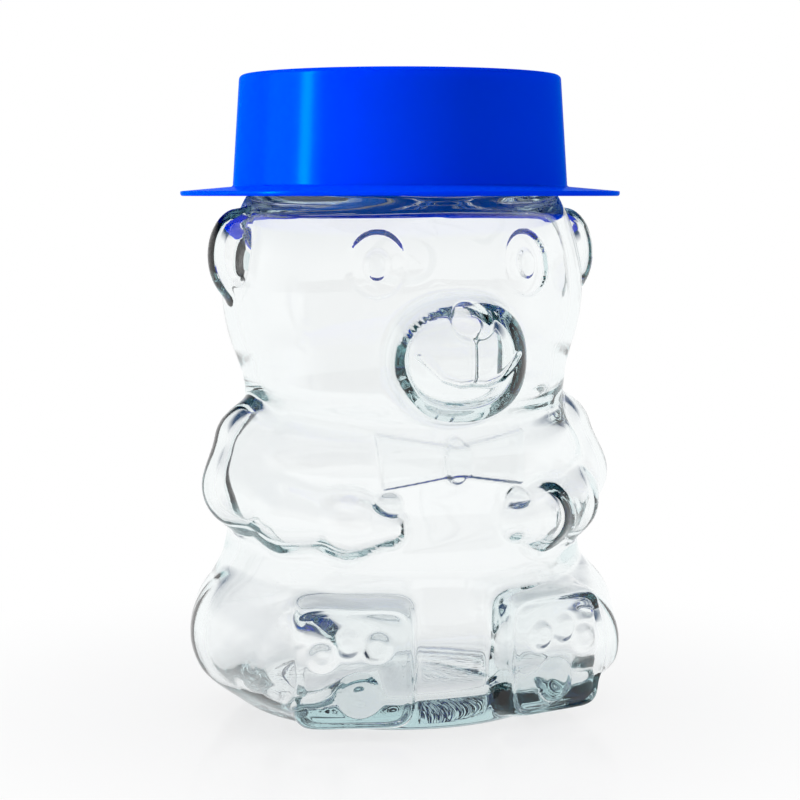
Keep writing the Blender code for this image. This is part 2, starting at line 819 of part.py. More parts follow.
def lug_cap(parts, cutters):
    """The pressed cap, with a sunk panel, a curled edge and four lugs that catch under the threads."""
    skirt = CAP_WIDTH / 2
    panel = CAP_PANEL_WIDTH / 2
    curl_middle = skirt - CURL_ROUND
    curl_level = CAP_BOTTOM + CURL_ROUND
    meeting = math.acos((CURL_ROUND - CAP_SHEET) / CURL_ROUND)
    curl = [
        (curl_middle + CURL_ROUND * math.cos(angle), curl_level - CURL_ROUND * math.sin(angle))
        for angle in ((2 * math.pi - meeting) * step / CURL_STEPS for step in range(CURL_STEPS + 1))
    ]
    outer = [
        (0, CAP_TOP - CAP_PANEL_SUNK, 0),
        (panel, CAP_TOP - CAP_PANEL_SUNK, 0),
        (panel + CAP_PANEL_SUNK, CAP_TOP, 0),
        (skirt, CAP_TOP, CAP_SHOULDER_ROUND),
        (skirt, curl_level, 0),
    ]
    inner = [
        (skirt - CAP_SHEET, curl_level + CURL_ROUND, 0),
        (skirt - CAP_SHEET, CAP_TOP - CAP_SHEET, CAP_SHOULDER_ROUND - CAP_SHEET),
        (panel + CAP_PANEL_SUNK, CAP_TOP - CAP_SHEET, 0),
        (panel, CAP_TOP - CAP_PANEL_SUNK - CAP_SHEET, 0),
        (0, CAP_TOP - CAP_PANEL_SUNK - CAP_SHEET, 0),
    ]
    cap = turned("lug_cap", [*rounded(outer)[:-1], *curl, *rounded(inner)], CAP_SIDES)
    lug_outer = skirt - CAP_SHEET
    lug_inner = FINISH_WIDTH / 2 + LUG_PLAY
    band = [
        (lug_outer, CAP_BOTTOM + LUG_THICK),
        (lug_outer, CAP_BOTTOM + CAP_SHEET),
        (lug_inner, CAP_BOTTOM + CAP_SHEET),
        (lug_inner, CAP_BOTTOM + LUG_THICK),
        (lug_outer, CAP_BOTTOM + LUG_THICK),
    ]
    for index in range(THREAD_COUNT // 2):
        bar = bmesh.new()
        bmesh.ops.create_cube(bar, size=1)
        bmesh.ops.scale(bar, vec=(2 * CAP_WIDTH, LUG_LENGTH, 2 * CAP_HEIGHT), verts=bar.verts[:])
        bmesh.ops.translate(bar, vec=(0, 0, CAP_BOTTOM), verts=bar.verts[:])
        quarter = 2 * math.pi * index / THREAD_COUNT + LUG_ENGAGED
        bmesh.ops.rotate(bar, matrix=Matrix.Rotation(quarter, 3, "Z"), verts=bar.verts[:])
        lugs = cutter(turned(f"lugs_{index}", band, CAP_SIDES), cutters)
        boolean(lugs, "INTERSECT", cutter(object_of(f"lug_bar_{index}", bar), cutters))
        boolean(cap, "UNION", lugs)
    parts.objects.link(cap)
    cap.data.materials.append(lacquered_tinplate())
    return cap


# Hat


def hat_rib(index, cutters):
    """One rib inside the crown. Its lower part grips the cap and its upper part stops on the cap's top."""
    stop_level = CAP_TOP + CLEARANCE
    grip_inner = CAP_WIDTH / 2 + CLEARANCE
    outer = (CROWN_WIDTH - HAT_WALL) / 2
    top = CEILING_LEVEL + HAT_WALL / 2
    bottom = CROWN_LEVEL
    outline = [
        (outer, bottom),
        (outer - CROWN_TAPER / 2, top),
        (grip_inner - STOP_RIB_LENGTH, top),
        (grip_inner - STOP_RIB_LENGTH, stop_level),
        (grip_inner, stop_level),
        (grip_inner, bottom),
    ]
    shape = bmesh.new()
    sides = []
    for half in (-GRIP_RIB_THICK / 2, GRIP_RIB_THICK / 2):
        sides.append([shape.verts.new((radius, half, level)) for radius, level in outline])
    near, far = sides
    shape.faces.new(near)
    shape.faces.new(reversed(far))
    for i in range(len(outline)):
        shape.faces.new((near[i - 1], far[i - 1], far[i], near[i]))
    angle = 2 * math.pi * (index + 1 / 2) / GRIP_RIB_COUNT
    bmesh.ops.rotate(shape, matrix=Matrix.Rotation(angle, 3, "Z"), verts=shape.verts[:])
    return cutter(object_of(f"hat_rib_{index}", shape), cutters)


def hat(parts, cutters):
    """The blue shell with a straight crown, a drooping brim and ribs that hold it on the cap."""
    crown = CROWN_WIDTH / 2
    brim = BRIM_WIDTH / 2
    top = crown - CROWN_TAPER / 2
    shell = turned("hat", rounded([
        (0, HAT_TOP, 0),
        (top, HAT_TOP, CROWN_ROUND),
        (crown, CROWN_LEVEL, CROWN_ROUND / 2),
        (brim, BRIM_LEVEL + BRIM_THICK, BRIM_THICK * CORNER_SHARE),
        (brim, BRIM_LEVEL, BRIM_THICK * CORNER_SHARE),
        (crown - HAT_WALL, CROWN_LEVEL - BRIM_THICK, 0),
        (top - HAT_WALL, CEILING_LEVEL, CROWN_ROUND / 2),
        (0, CEILING_LEVEL, 0),
    ]), HAT_SIDES)
    for index in range(GRIP_RIB_COUNT):
        boolean(shell, "UNION", hat_rib(index, cutters))
    parts.objects.link(shell)
    shell.data.materials.append(blue_plastic())
    return shell


def main():
    for old in list(bpy.data.objects):
        bpy.data.objects.remove(old, do_unlink=True)
    parts = new_collection("honey_bear_bottle")
    cutters = new_collection("cutters")
    glass_jar(parts, cutters)
    sealing_ring(parts)
    lug_cap(parts, cutters)
    hat(parts, cutters)


main()
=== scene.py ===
"""A clear glass honey jar shaped as a sitting bear, closed by a lug cap under a blue hat, in a plain studio.

Lengths are in metres in the CAD frame: the origin is the centre of the jar's base, +Z is up and the bear
faces -Y. Forms that come in pairs are given once, for the +X side, and the jar is the same on both sides.
"""

import logging
import math
from collections.abc import Callable
from dataclasses import dataclass, field
from enum import Enum

import bpy
import numpy as np
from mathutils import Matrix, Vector


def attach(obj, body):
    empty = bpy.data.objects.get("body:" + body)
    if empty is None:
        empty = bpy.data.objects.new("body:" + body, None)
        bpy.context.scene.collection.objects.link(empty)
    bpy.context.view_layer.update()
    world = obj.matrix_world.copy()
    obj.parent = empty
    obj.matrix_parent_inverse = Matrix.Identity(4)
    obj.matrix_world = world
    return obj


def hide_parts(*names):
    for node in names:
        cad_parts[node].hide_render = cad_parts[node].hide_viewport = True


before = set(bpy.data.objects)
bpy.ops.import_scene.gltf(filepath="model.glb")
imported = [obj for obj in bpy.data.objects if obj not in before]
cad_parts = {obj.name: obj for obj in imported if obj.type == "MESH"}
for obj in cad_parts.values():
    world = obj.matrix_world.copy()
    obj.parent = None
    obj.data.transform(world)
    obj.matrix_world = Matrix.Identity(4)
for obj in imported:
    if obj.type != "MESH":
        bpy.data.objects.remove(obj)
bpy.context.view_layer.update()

LOG = logging.getLogger("honey_bear_jar")
MM = 0.001

# The walk towards a surface takes a share of the distance at each step, so that no step passes it.
WALK_START = 50 * MM
WALK_STEPS = 48
WALK_SHARE = 0.85
TINY = 1e-6

Surface = Callable[[np.ndarray], np.ndarray]
Colour = tuple[float, float, float]


# Distances to round forms, positive outside. Points are rows of x, y and z.


def on_one_side(points: np.ndarray) -> np.ndarray:
    """Gives the points with those of the -X side mirrored to the +X side."""
    return np.stack([np.abs(points[:, 0]), points[:, 1], points[:, 2]], axis=1)


def frame_of(points: np.ndarray, middle: tuple, turn: float) -> np.ndarray:
    """Gives the points as seen from a form.

    Args:
        points: The points.
        middle: The form's middle.
        turn: The form's turn about the vertical.

    Returns:
        Rows of how far each point lies across, through and up the form.
    """
    away = points - np.array(middle)
    cosine, sine = math.cos(turn), math.sin(turn)
    across = cosine * away[:, 0] + sine * away[:, 1]
    through = cosine * away[:, 1] - sine * away[:, 0]
    return np.stack([across, through, away[:, 2]], axis=1)


def joined(first: np.ndarray, second: np.ndarray, blend: float) -> np.ndarray:
    """Joins two forms and rounds the crease between them.

    Args:
        first: Distances to one form.
        second: Distances to the other.
        blend: How wide the rounded crease is.

    Returns:
        Distances to both as one.
    """
    overlap = np.clip(0.5 + (second - first) / (2 * blend), 0, 1)
    return second + (first - second) * overlap - blend * overlap * (1 - overlap)


def carved(body: np.ndarray, cut: np.ndarray, blend: float) -> np.ndarray:
    """Takes one form out of another and rounds the edge.

    Args:
        body: Distances to the body.
        cut: Distances to what is taken out.
        blend: How wide the rounded edge is.

    Returns:
        Distances to what is left.
    """
    return -joined(-body, cut, blend)


@dataclass(frozen=True)
class Egg:
    """An egg of these full sizes. A power over 2 makes it squarer."""

    middle: tuple
    size: tuple
    power: float = 2.0
    turn: float = 0.0

    def distance(self, points: np.ndarray) -> np.ndarray:
        """Gives the distance to the egg's surface, to first order.

        Args:
            points: The points.

        Returns:
            Their distances.
        """
        halves = np.array(self.size) / 2
        share = np.abs(frame_of(points, self.middle, self.turn)) / halves
        reach = np.maximum((share**self.power).sum(axis=1) ** (1 / self.power), TINY)
        slope = (share / reach[:, None]) ** (self.power - 1) / halves
        return (reach - 1) / np.linalg.norm(slope, axis=1)


@dataclass(frozen=True)
class Limb:
    """A tube with round ends that tapers from one thickness to another."""

    start: tuple
    end: tuple
    start_thick: float
    end_thick: float

    def distance(self, points: np.ndarray) -> np.ndarray:
        """Gives the distance to the tube's surface.

        Args:
            points: The points.

        Returns:
            Their distances.
        """
        start = np.array(self.start)
        run = np.array(self.end) - start
        along = np.clip((points - start) @ run / (run @ run), 0, 1)
        thick = self.start_thick + (self.end_thick - self.start_thick) * along
        return np.linalg.norm(points - start - along[:, None] * run, axis=1) - thick / 2


@dataclass(frozen=True)
class Relief:
    """A flat outline pressed into or out of the surface in front of its middle."""

    middle: tuple
    width: float
    height: float
    proud: float
    slope: float
    turn: float = 0.0
    power: float = 2.0
    depth: float = 16 * MM

    def outline(self, across: np.ndarray, up: np.ndarray) -> np.ndarray:
        """Gives the distance to the outline, an oval or a squarer form of a higher power.

        Args:
            across: How far each point lies across the outline's middle.
            up: How far it lies above that middle.

        Returns:
            The distances, positive outside the outline.
        """
        shares = np.abs(np.stack([across / self.width, up / self.height], axis=1)) * 2
        reach = (shares**self.power).sum(axis=1) ** (1 / self.power)
        return (reach - 1) * min(self.width, self.height) / 2

    def pressed(self, body: np.ndarray, points: np.ndarray) -> np.ndarray:
        """Presses the relief into or out of a body, its walls as wide as its slope.

        Args:
            body: Distances to the body.
            points: The points.

        Returns:
            Distances to the body with the relief.
        """
        across, through, up = frame_of(points, self.middle, self.turn).T
        share = np.clip(0.5 - self.outline(across, up) / self.slope, 0, 1)
        share = share * share * (3 - 2 * share)
        return body - self.proud * share * (through < self.depth)


@dataclass(frozen=True)
class Wing(Relief):
    """One wing of the bow tie: its width is its length from the knot, and its far end is taller."""

    root_height: float = 5.6 * MM
    slant: float = 0.16

    def outline(self, across: np.ndarray, up: np.ndarray) -> np.ndarray:
        """Gives the distance to the wing's outline.

        Args:
            across: How far each point lies from the knot along the wing.
            up: How far it lies above the wing's middle.

        Returns:
            The distances, positive outside the outline.
        """
        along = np.clip(across / self.width, 0, 1)
        half_height = (self.root_height + (self.height - self.root_height) * along) / 2
        return np.maximum(across - self.width - self.slant * up, np.abs(up) - half_height)


@dataclass(frozen=True)
class Stroke(Relief):
    """A groove along a bent line through points of reach and level."""

    line: tuple = ()

    def outline(self, across: np.ndarray, up: np.ndarray) -> np.ndarray:
        """Gives the distance to the edge of the groove.

        Args:
            across: How far each point lies across the line's origin.
            up: How far it lies above that origin.

        Returns:
            The distances, positive outside the groove.
        """
        spots = np.stack([across, up], axis=1)
        nearest = np.full(len(across), np.inf)
        for start, end in zip(self.line, self.line[1:]):
            start, run = np.array(start), np.array(end) - np.array(start)
            share = np.clip((spots - start) @ run / (run @ run), 0, 1)
            nearest = np.minimum(nearest, np.linalg.norm(spots - start - share[:, None] * run, axis=1))
        return nearest - self.width / 2


# Forms of the bear


@dataclass(frozen=True)
class Masses:
    """The large rounded forms, from the head to the base, and the root of the neck."""

    head: Egg = Egg((0, -2.0 * MM, 88.3 * MM), (76.6 * MM, 65.5 * MM, 73.8 * MM))
    neck: Egg = Egg((0, -4.5 * MM, 68.0 * MM), (64.0 * MM, 59.0 * MM, 24.0 * MM))
    torso: Egg = Egg((0, -2.0 * MM, 51.0 * MM), (80.0 * MM, 63.0 * MM, 45.0 * MM))
    belly: Egg = Egg((0, -2.0 * MM, 35.8 * MM), (74.5 * MM, 65.0 * MM, 44.0 * MM))
    hips: Egg = Egg((0, 0, 17.4 * MM), (90.5 * MM, 64.0 * MM, 52.0 * MM))
    base: Egg = Egg((0, 0, 4.7 * MM), (63.5 * MM, 63.5 * MM, 27.0 * MM))
    neck_root: Egg = Egg((0, 0, 108.1 * MM), (59.4 * MM, 59.4 * MM, 16.0 * MM), 2.3)
    fold: float = 6.0 * MM
    root_fold: float = 1.8 * MM
    heel_slope: float = math.radians(57)

    def distance(self, points: np.ndarray) -> np.ndarray:
        """Gives the distance to all the large forms with soft folds between them.

        Args:
            points: The points, all on the +X side.

        Returns:
            Their distances.
        """
        body = self.head.distance(points)
        for mass in (self.neck, self.torso, self.belly, self.hips, self.base):
            body = joined(body, mass.distance(points), self.fold)
        return joined(body, self.neck_root.distance(points), self.root_fold)

    def heel(self, points: np.ndarray) -> np.ndarray:
        """Gives the distance to the cone in which the body draws in below."""
        reach = np.hypot(points[:, 0], points[:, 1]) - self.base.size[0] / 2
        return reach * math.cos(self.heel_slope) - points[:, 2] * math.sin(self.heel_slope)

    def front(self, mass: Egg, reach: float, level: float) -> float:
        """Gives where the front of one mass lies.

        Args:
            mass: The mass.
            reach: How far to the side of its middle.
            level: The level.

        Returns:
            The y of its front.
        """
        across = 2 * reach / mass.size[0]
        up = 2 * (level - mass.middle[2]) / mass.size[2]
        return mass.middle[1] - mass.size[1] / 2 * math.sqrt(max(1 - across**2 - up**2, 0))


@dataclass(frozen=True)
class Face:
    """The muzzle with its nose and mouth, the eyes and the ears.

    The lines of the mouth and the lip are points of reach and level in millimetres.
    """

    muzzle_level: float = 75.2 * MM
    muzzle_size: tuple = (28.4 * MM, 21.0 * MM, 25.8 * MM)
    muzzle_power: float = 2.3
    inner_share: float = 0.88
    nose_level: float = 82.9 * MM
    nose_size: tuple = (7.4 * MM, 6.6 * MM)
    nose_sunk: float = 2.4 * MM
    mouth_width: float = 0.8 * MM
    mouth_sunk: float = 0.8 * MM
    mouth_line: tuple = ((0, 71.2), (2.8, 71.0), (5.9, 72.0), (8.1, 74.2), (10.1, 76.4))
    lip_line: tuple = ((0, 71.2), (0, 79.3))
    eye_level: float = 93.7 * MM
    eye_reach: float = 15.85 * MM
    eye_size: tuple = (11.2 * MM, 12.8 * MM)
    eye_sunk: float = 0.55 * MM
    eye_turn: float = math.radians(21)
    pupil_size: tuple = (4.4 * MM, 5.6 * MM)
    pupil_proud: float = 0.6 * MM
    ear: Egg = Egg((35.9 * MM, -3.6 * MM, 95.0 * MM), (13.0 * MM, 11.0 * MM, 19.2 * MM))
    ear_cup: Egg = Egg((37.4 * MM, -9.1 * MM, 95.0 * MM), (6.0 * MM, 4.8 * MM, 12.0 * MM))
    crease: float = 1.8 * MM
    edge: float = 0.8 * MM
    eye_edge: float = 0.55 * MM

    def muzzle(self, masses: Masses, share: float = 1.0) -> Egg:
        """Gives the muzzle at a share of its size.

        Args:
            masses: The large forms that carry the face.
            share: The share, which is less than 1 for the inside of the glass.

        Returns:
            The muzzle.
        """
        root = masses.front(masses.head, 0, self.muzzle_level)
        size = tuple(share * side for side in self.muzzle_size)
        return Egg((0, root, self.muzzle_level), size, self.muzzle_power)

    def onto(self, body: np.ndarray, points: np.ndarray, masses: Masses) -> np.ndarray:
        """Puts the face on the head.

        Args:
            body: Distances to the bear so far.
            points: The points, all on the +X side.
            masses: The large forms that carry the face.

        Returns:
            Distances to the bear with its face.
        """
        muzzle = self.muzzle(masses)
        root = muzzle.middle[1]
        body = joined(body, muzzle.distance(points), self.crease)
        reliefs = [Relief((0, root, self.nose_level), *self.nose_size, -self.nose_sunk, 2 * self.edge)]
        for line in (self.mouth_line, self.lip_line):
            line = tuple((reach * MM, level * MM - self.muzzle_level) for reach, level in line)
            reliefs.append(Stroke((0, root, self.muzzle_level), self.mouth_width, self.mouth_width,
                                  -self.mouth_sunk, self.mouth_width, line=line))
        eye_front = masses.front(masses.head, self.eye_reach, self.eye_level)
        eye = (self.eye_reach, eye_front, self.eye_level)
        reliefs.append(Relief(eye, *self.eye_size, -self.eye_sunk, self.eye_edge, self.eye_turn))
        reliefs.append(Relief(eye, *self.pupil_size, self.pupil_proud, self.edge, self.eye_turn))
        for relief in reliefs:
            body = relief.pressed(body, points)
        body = joined(body, self.ear.distance(points), self.crease)
        return carved(body, self.ear_cup.distance(points), self.edge)


@dataclass(frozen=True)
class BowTie:
    """The bow tie on the chest."""

    level: float = 55.0 * MM
    knot_size: tuple = (5.8 * MM, 8.8 * MM)
    knot_proud: float = 1.4 * MM
    wing_length: float = 15.2 * MM
    wing_height: float = 10.8 * MM
    wing_proud: float = 1.4 * MM
    turn: float = math.radians(17)
    edge: float = 0.8 * MM

    def onto(self, body: np.ndarray, points: np.ndarray, masses: Masses) -> np.ndarray:
        """Puts the bow tie on the chest.

        Args:
            body: Distances to the bear so far.
            points: The points, all on the +X side.
            masses: The large forms that carry the tie.

        Returns:
            Distances to the bear with its bow tie.
        """
        middle = (0, masses.front(masses.torso, 0, self.level), self.level)
        wing = Wing(middle, self.wing_length, self.wing_height, self.wing_proud, self.edge, self.turn)
        knot = Relief(middle, *self.knot_size, self.knot_proud, self.edge)
        return knot.pressed(wing.pressed(body, points), points)


@dataclass(frozen=True)
class Arm:
    """An arm bent round the side of the torso, with fingers and a thumb."""

    joints: tuple = (
        ((32.5 * MM, -4.5 * MM, 56.5 * MM), 18.0 * MM),
        ((35.3 * MM, -6.2 * MM, 48.3 * MM), 17.0 * MM),
        ((29.3 * MM, -18.0 * MM, 43.7 * MM), 14.4 * MM),
        ((20.0 * MM, -27.6 * MM, 42.3 * MM), 13.2 * MM),
    )
    fingertip: tuple = ((13.2 * MM, -30.8 * MM, 41.7 * MM), 8.8 * MM)
    thumb_tip: tuple = ((13.4 * MM, -31.6 * MM, 46.4 * MM), 5.2 * MM)
    fold: float = 3.0 * MM
    edge: float = 0.5 * MM

    def limbs(self) -> list[Limb]:
        """Gives the arm's tubes from the shoulder to the wrist."""
        return [Limb(a, b, thick, next_thick)
                for (a, thick), (b, next_thick) in zip(self.joints, self.joints[1:])]

    def fingers(self) -> Limb:
        """Gives the tube of the hand."""
        wrist, wrist_thick = self.joints[-1]
        return Limb(wrist, self.fingertip[0], wrist_thick, self.fingertip[1])

    def onto(self, body: np.ndarray, points: np.ndarray) -> np.ndarray:
        """Joins the arm to the bear.

        Args:
            body: Distances to the bear so far.
            points: The points, all on the +X side.

        Returns:
            Distances to the bear with its arm.
        """
        for limb in self.limbs():
            body = joined(body, limb.distance(points), self.fold)
        wrist = self.joints[-1][0]
        thumb = Limb(wrist, self.thumb_tip[0], self.thumb_tip[1], self.thumb_tip[1])
        body = joined(body, self.fingers().distance(points), self.edge)
        return joined(body, thumb.distance(points), self.edge)


@dataclass(frozen=True)
class Leg:
    """A leg with a square foot, whose sole is sunk and holds raised pads."""

    hip: tuple = (33.95 * MM, -5.0 * MM, 17.4 * MM)
    ankle: tuple = (27.8 * MM, -21.0 * MM, 14.8 * MM)
    thigh_thick: float = 24.6 * MM
    shin_thick: float = 25.0 * MM
    foot_size: tuple = (24.4 * MM, 30.0 * MM, 25.6 * MM)
    squareness: float = 7.0
    inner_share: float = 0.75
    sole_middle: tuple = (21.9 * MM, -35.6 * MM, 15.0 * MM)
    turn: float = math.radians(15)
    border: float = 1.6 * MM
    sole_sunk: float = 1.0 * MM
    pad_width: float = 8.8 * MM
    toe_width: float = 4.8 * MM
    pad_proud: float = 1.0 * MM
    rim_proud: float = 0.4 * MM
    dome_share: float = 0.72
    dome_slope: float = 0.45
    pad_share: tuple = (-0.08, -0.40)
    toe_shares: tuple = ((-0.36, 0.34), (0.11, 0.40), (0.52, 0.20))
    fold: float = 3.0 * MM
    crease: float = 1.8 * MM
    edge: float = 0.9 * MM

    def on_sole(self, outwards: float, up: float, depth: float) -> tuple:
        """Gives a point on or behind the sole.

        Args:
            outwards: How far outwards from the sole's middle.
            up: How far up from it.
            depth: How far into the foot.

        Returns:
            The point.
        """
        across = outwards * math.cos(self.turn) - depth * math.sin(self.turn)
        back = outwards * math.sin(self.turn) + depth * math.cos(self.turn)
        return (self.sole_middle[0] + across, self.sole_middle[1] + back, self.sole_middle[2] + up)

    def limb(self) -> Limb:
        """Gives the tube of the thigh and the shin."""
        return Limb(self.hip, self.ankle, self.thigh_thick, self.shin_thick)

    def soft_foot(self) -> Egg:
        """Gives the foot without its square corners, for the inside of the glass."""
        size = tuple(self.inner_share * side for side in self.foot_size)
        return Egg(self.on_sole(0, 0, self.foot_size[1] / 2), size, turn=self.turn)

    def onto(self, body: np.ndarray, points: np.ndarray) -> np.ndarray:
        """Joins the foot to the bear, with its sunk sole and raised pads.

        Args:
            body: Distances to the bear so far, with the leg.
            points: The points, all on the +X side.

        Returns:
            Distances to the bear with its foot.
        """
        width, length, height = self.foot_size
        foot = Egg(self.on_sole(0, 0, length / 2), self.foot_size, self.squareness, self.turn)
        body = joined(body, foot.distance(points), self.crease)
        panel = Relief(self.sole_middle, width - 2 * self.border, height - 2 * self.border,
                       -self.sole_sunk, self.edge, self.turn, self.squareness)
        body = panel.pressed(body, points)
        rim = self.pad_width * self.dome_share
        pads = [(self.pad_share, self.pad_width, self.rim_proud, self.edge / 2),
                (self.pad_share, rim, self.pad_proud, rim * self.dome_slope)]
        pads += [(share, self.toe_width, self.pad_proud, self.toe_width * self.dome_slope)
                 for share in self.toe_shares]
        for (outwards, up), size, proud, slope in pads:
            middle = self.on_sole(outwards * width / 2, up * height / 2, 0)
            body = Relief(middle, size, size, proud, slope, self.turn).pressed(body, points)
        return body


# Meshes from rings


def bearings(sides: int, crowding: float) -> np.ndarray:
    """Gives directions round the axis from the front, closer together at the front."""
    turns = np.arange(sides) / sides * 2 * np.pi
    return turns - crowding * np.sin(turns)


def found_radii(surface: Surface, turns: np.ndarray, levels: np.ndarray) -> np.ndarray:
    """Finds how far a surface lies from the axis, by walking towards it from outside.

    Args:
        surface: Gives the distance of points to the surface.
        turns: The directions, which are the same on both sides of the front.
        levels: The levels of the rings.

    Returns:
        One row of radii for each level.
    """
    half = turns[: len(turns) // 2 + 1]
    ways = np.stack([np.sin(half), -np.cos(half), np.zeros(len(half))], axis=1)
    ways = np.tile(ways, (len(levels), 1))
    rise = np.zeros_like(ways)
    rise[:, 2] = np.repeat(levels, len(half))
    radii = np.full(len(ways), WALK_START)
    for _ in range(WALK_STEPS):
        radii = radii - WALK_SHARE * surface(ways * radii[:, None] + rise)
    radii = radii.reshape(len(levels), len(half))
    return np.concatenate([radii, radii[:, -2:0:-1]], axis=1)


def linked(name: str, data: bpy.types.ID) -> bpy.types.Object:
    """Makes an object and links it to the scene.

    Args:
        name: Its name.
        data: Its mesh, lamp or camera.

    Returns:
        The object.
    """
    piece = bpy.data.objects.new(name, data)
    bpy.context.scene.collection.objects.link(piece)
    return piece


def meshed(name: str, points: list, edges: list, faces: list) -> bpy.types.Object:
    """Makes a mesh object and links it to the scene.

    Args:
        name: Its name.
        points: The points.
        edges: The edges that belong to no face.
        faces: The faces.

    Returns:
        The object.
    """
    mesh = bpy.data.meshes.new(name)
    mesh.from_pydata(points, edges, faces)
    return linked(name, mesh)


@dataclass
class RingMesh:
    """A mesh made of rings from one pole to the other."""

    rings: list = field(default_factory=list)

    def add(self, radii: np.ndarray, turns: np.ndarray, level: float | np.ndarray) -> None:
        """Adds a ring of these radii at one level, or at a level for each of its points."""
        levels = np.full(len(turns), level)
        self.rings.append(np.stack([radii * np.sin(turns), -radii * np.cos(turns), levels], axis=1))

    def faces(self) -> list:
        """Gives the faces between the rings and one face at each pole.

        Returns:
            The faces, which are triangles where a ring has fewer points than the one before it.
        """
        starts = np.cumsum([0] + [len(ring) for ring in self.rings])
        faces = []
        for index, (lower, upper) in enumerate(zip(self.rings, self.rings[1:])):
            low, high = starts[index], starts[index + 1]
            if len(lower) == len(upper):
                here = np.arange(len(lower))
                after = np.roll(here, -1)
                faces += np.stack([low + here, low + after, high + after, high + here], axis=1).tolist()
                continue
            ratio = len(lower) // len(upper)
            for spot in range(len(upper)):
                row = [low + (ratio * spot + step) % len(lower) for step in range(ratio + 1)]
                middle = ratio // 2
                next_spot = high + (spot + 1) % len(upper)
                faces += [[row[step], row[step + 1], high + spot] for step in range(middle)]
                faces.append([row[middle], next_spot, high + spot])
                faces += [[row[step], row[step + 1], next_spot] for step in range(middle, ratio)]
        faces.append(list(range(len(self.rings[0])))[::-1])
        faces.append(list(range(starts[-2], starts[-1])))
        return faces

    def built(self, name: str) -> bpy.types.Object:
        """Builds the smooth mesh object.

        Args:
            name: Its name.

        Returns:
            The object.
        """
        piece = meshed(name, np.concatenate(self.rings).tolist(), [], self.faces())
        piece.data.validate()
        piece.data.shade_smooth()
        return piece


def turned(name: str, outline: list, sides: int) -> bpy.types.Object:
    """Turns an outline of radius and level about the axis.

    Args:
        name: The new object's name.
        outline: The outline at +X, down its outer side.
        sides: The number of steps round.

    Returns:
        The object, with the turning as a modifier.
    """
    points = [(radius, 0, level) for radius, level in outline]
    piece = meshed(name, points, [(i, i + 1) for i in range(len(points) - 1)], [])
    screw = piece.modifiers.new("turn", "SCREW")
    screw.steps = screw.render_steps = sides
    screw.use_merge_vertices = True
    screw.merge_threshold = 3e-6
    screw.use_smooth_shade = True
    return piece


def rounded(corners: list, steps: int = 6) -> list:
    """Rounds the corners of an outline.

    Args:
        corners: Radius, level and rounding of each corner.
        steps: The steps of each rounding.

    Returns:
        The outline's points.
    """
    outline = []
    for i, (radius, level, rounding) in enumerate(corners):
        corner = np.array([radius, level])
        if not rounding:
            outline.append(corner)
            continue
        before = np.array(corners[i - 1][:2]) - corner
        after = np.array(corners[i + 1][:2]) - corner
        before, after = before / np.linalg.norm(before), after / np.linalg.norm(after)
        half_angle = math.acos(np.clip(before @ after, -1, 1)) / 2
        reach = rounding / math.tan(half_angle)
        middle = corner + (before + after) / np.linalg.norm(before + after) * rounding / math.sin(half_angle)
        start, end = corner + before * reach - middle, corner + after * reach - middle
        sweep = math.atan2(start[0] * end[1] - start[1] * end[0], start @ end)
        for step in range(steps + 1):
            angle = sweep * step / steps
            outline.append(middle + np.array([
                math.cos(angle) * start[0] - math.sin(angle) * start[1],
                math.sin(angle) * start[0] + math.cos(angle) * start[1],
            ]))
    return outline


# Materials


def fill(node: bpy.types.Node, values: dict) -> None:
    """Gives inputs of a node their values, by name."""
    for name, value in values.items():
        node.inputs[name].default_value = value


def reckoned(tree: bpy.types.NodeTree, operation: str, first: bpy.types.NodeSocket,
             second: bpy.types.NodeSocket) -> bpy.types.NodeSocket:
    """Places a node that works out one value from two.

    Args:
        tree: The node tree.
        operation: What the node does, as Blender names it.
        first: The first value.
        second: The second value.

    Returns:
        The socket with the result.
    """
    node = tree.nodes.new("ShaderNodeMath")
    node.operation = operation
    tree.links.new(first, node.inputs[0])
    tree.links.new(second, node.inputs[1])
    return node.outputs[0]


def group_input(tree: bpy.types.NodeTree, name: str, value: float) -> None:
    """Adds a named input with a value to a node group."""
    socket = tree.interface.new_socket(name, in_out="INPUT", socket_type="NodeSocketFloat")
    socket.default_value = value


def moulding_waves() -> bpy.types.NodeTree:
    """Builds the group for the slight waves and grains of a moulded surface.

    Returns:
        A group with the inputs Wave Scale, Grain Scale and Grain Share, and the output Height.
    """
    tree = bpy.data.node_groups.new("moulding_waves", "ShaderNodeTree")
    group_input(tree, "Wave Scale", 120.0)
    group_input(tree, "Grain Scale", 900.0)
    group_input(tree, "Grain Share", 0.2)
    tree.interface.new_socket("Height", in_out="OUTPUT", socket_type="NodeSocketFloat")
    nodes, links = tree.nodes, tree.links
    inputs, outputs = nodes.new("NodeGroupInput"), nodes.new("NodeGroupOutput")
    place = nodes.new("ShaderNodeTexCoord")
    wave, grain = nodes.new("ShaderNodeTexNoise"), nodes.new("ShaderNodeTexNoise")
    mix = nodes.new("ShaderNodeMix")
    for noise, scale in ((wave, "Wave Scale"), (grain, "Grain Scale")):
        fill(noise, {"Detail": 1.0})
        links.new(place.outputs["Object"], noise.inputs["Vector"])
        links.new(inputs.outputs[scale], noise.inputs["Scale"])
    links.new(inputs.outputs["Grain Share"], mix.inputs["Factor"])
    links.new(wave.outputs["Fac"], mix.inputs["A"])
    links.new(grain.outputs["Fac"], mix.inputs["B"])
    links.new(mix.outputs["Result"], outputs.inputs["Height"])
    return tree


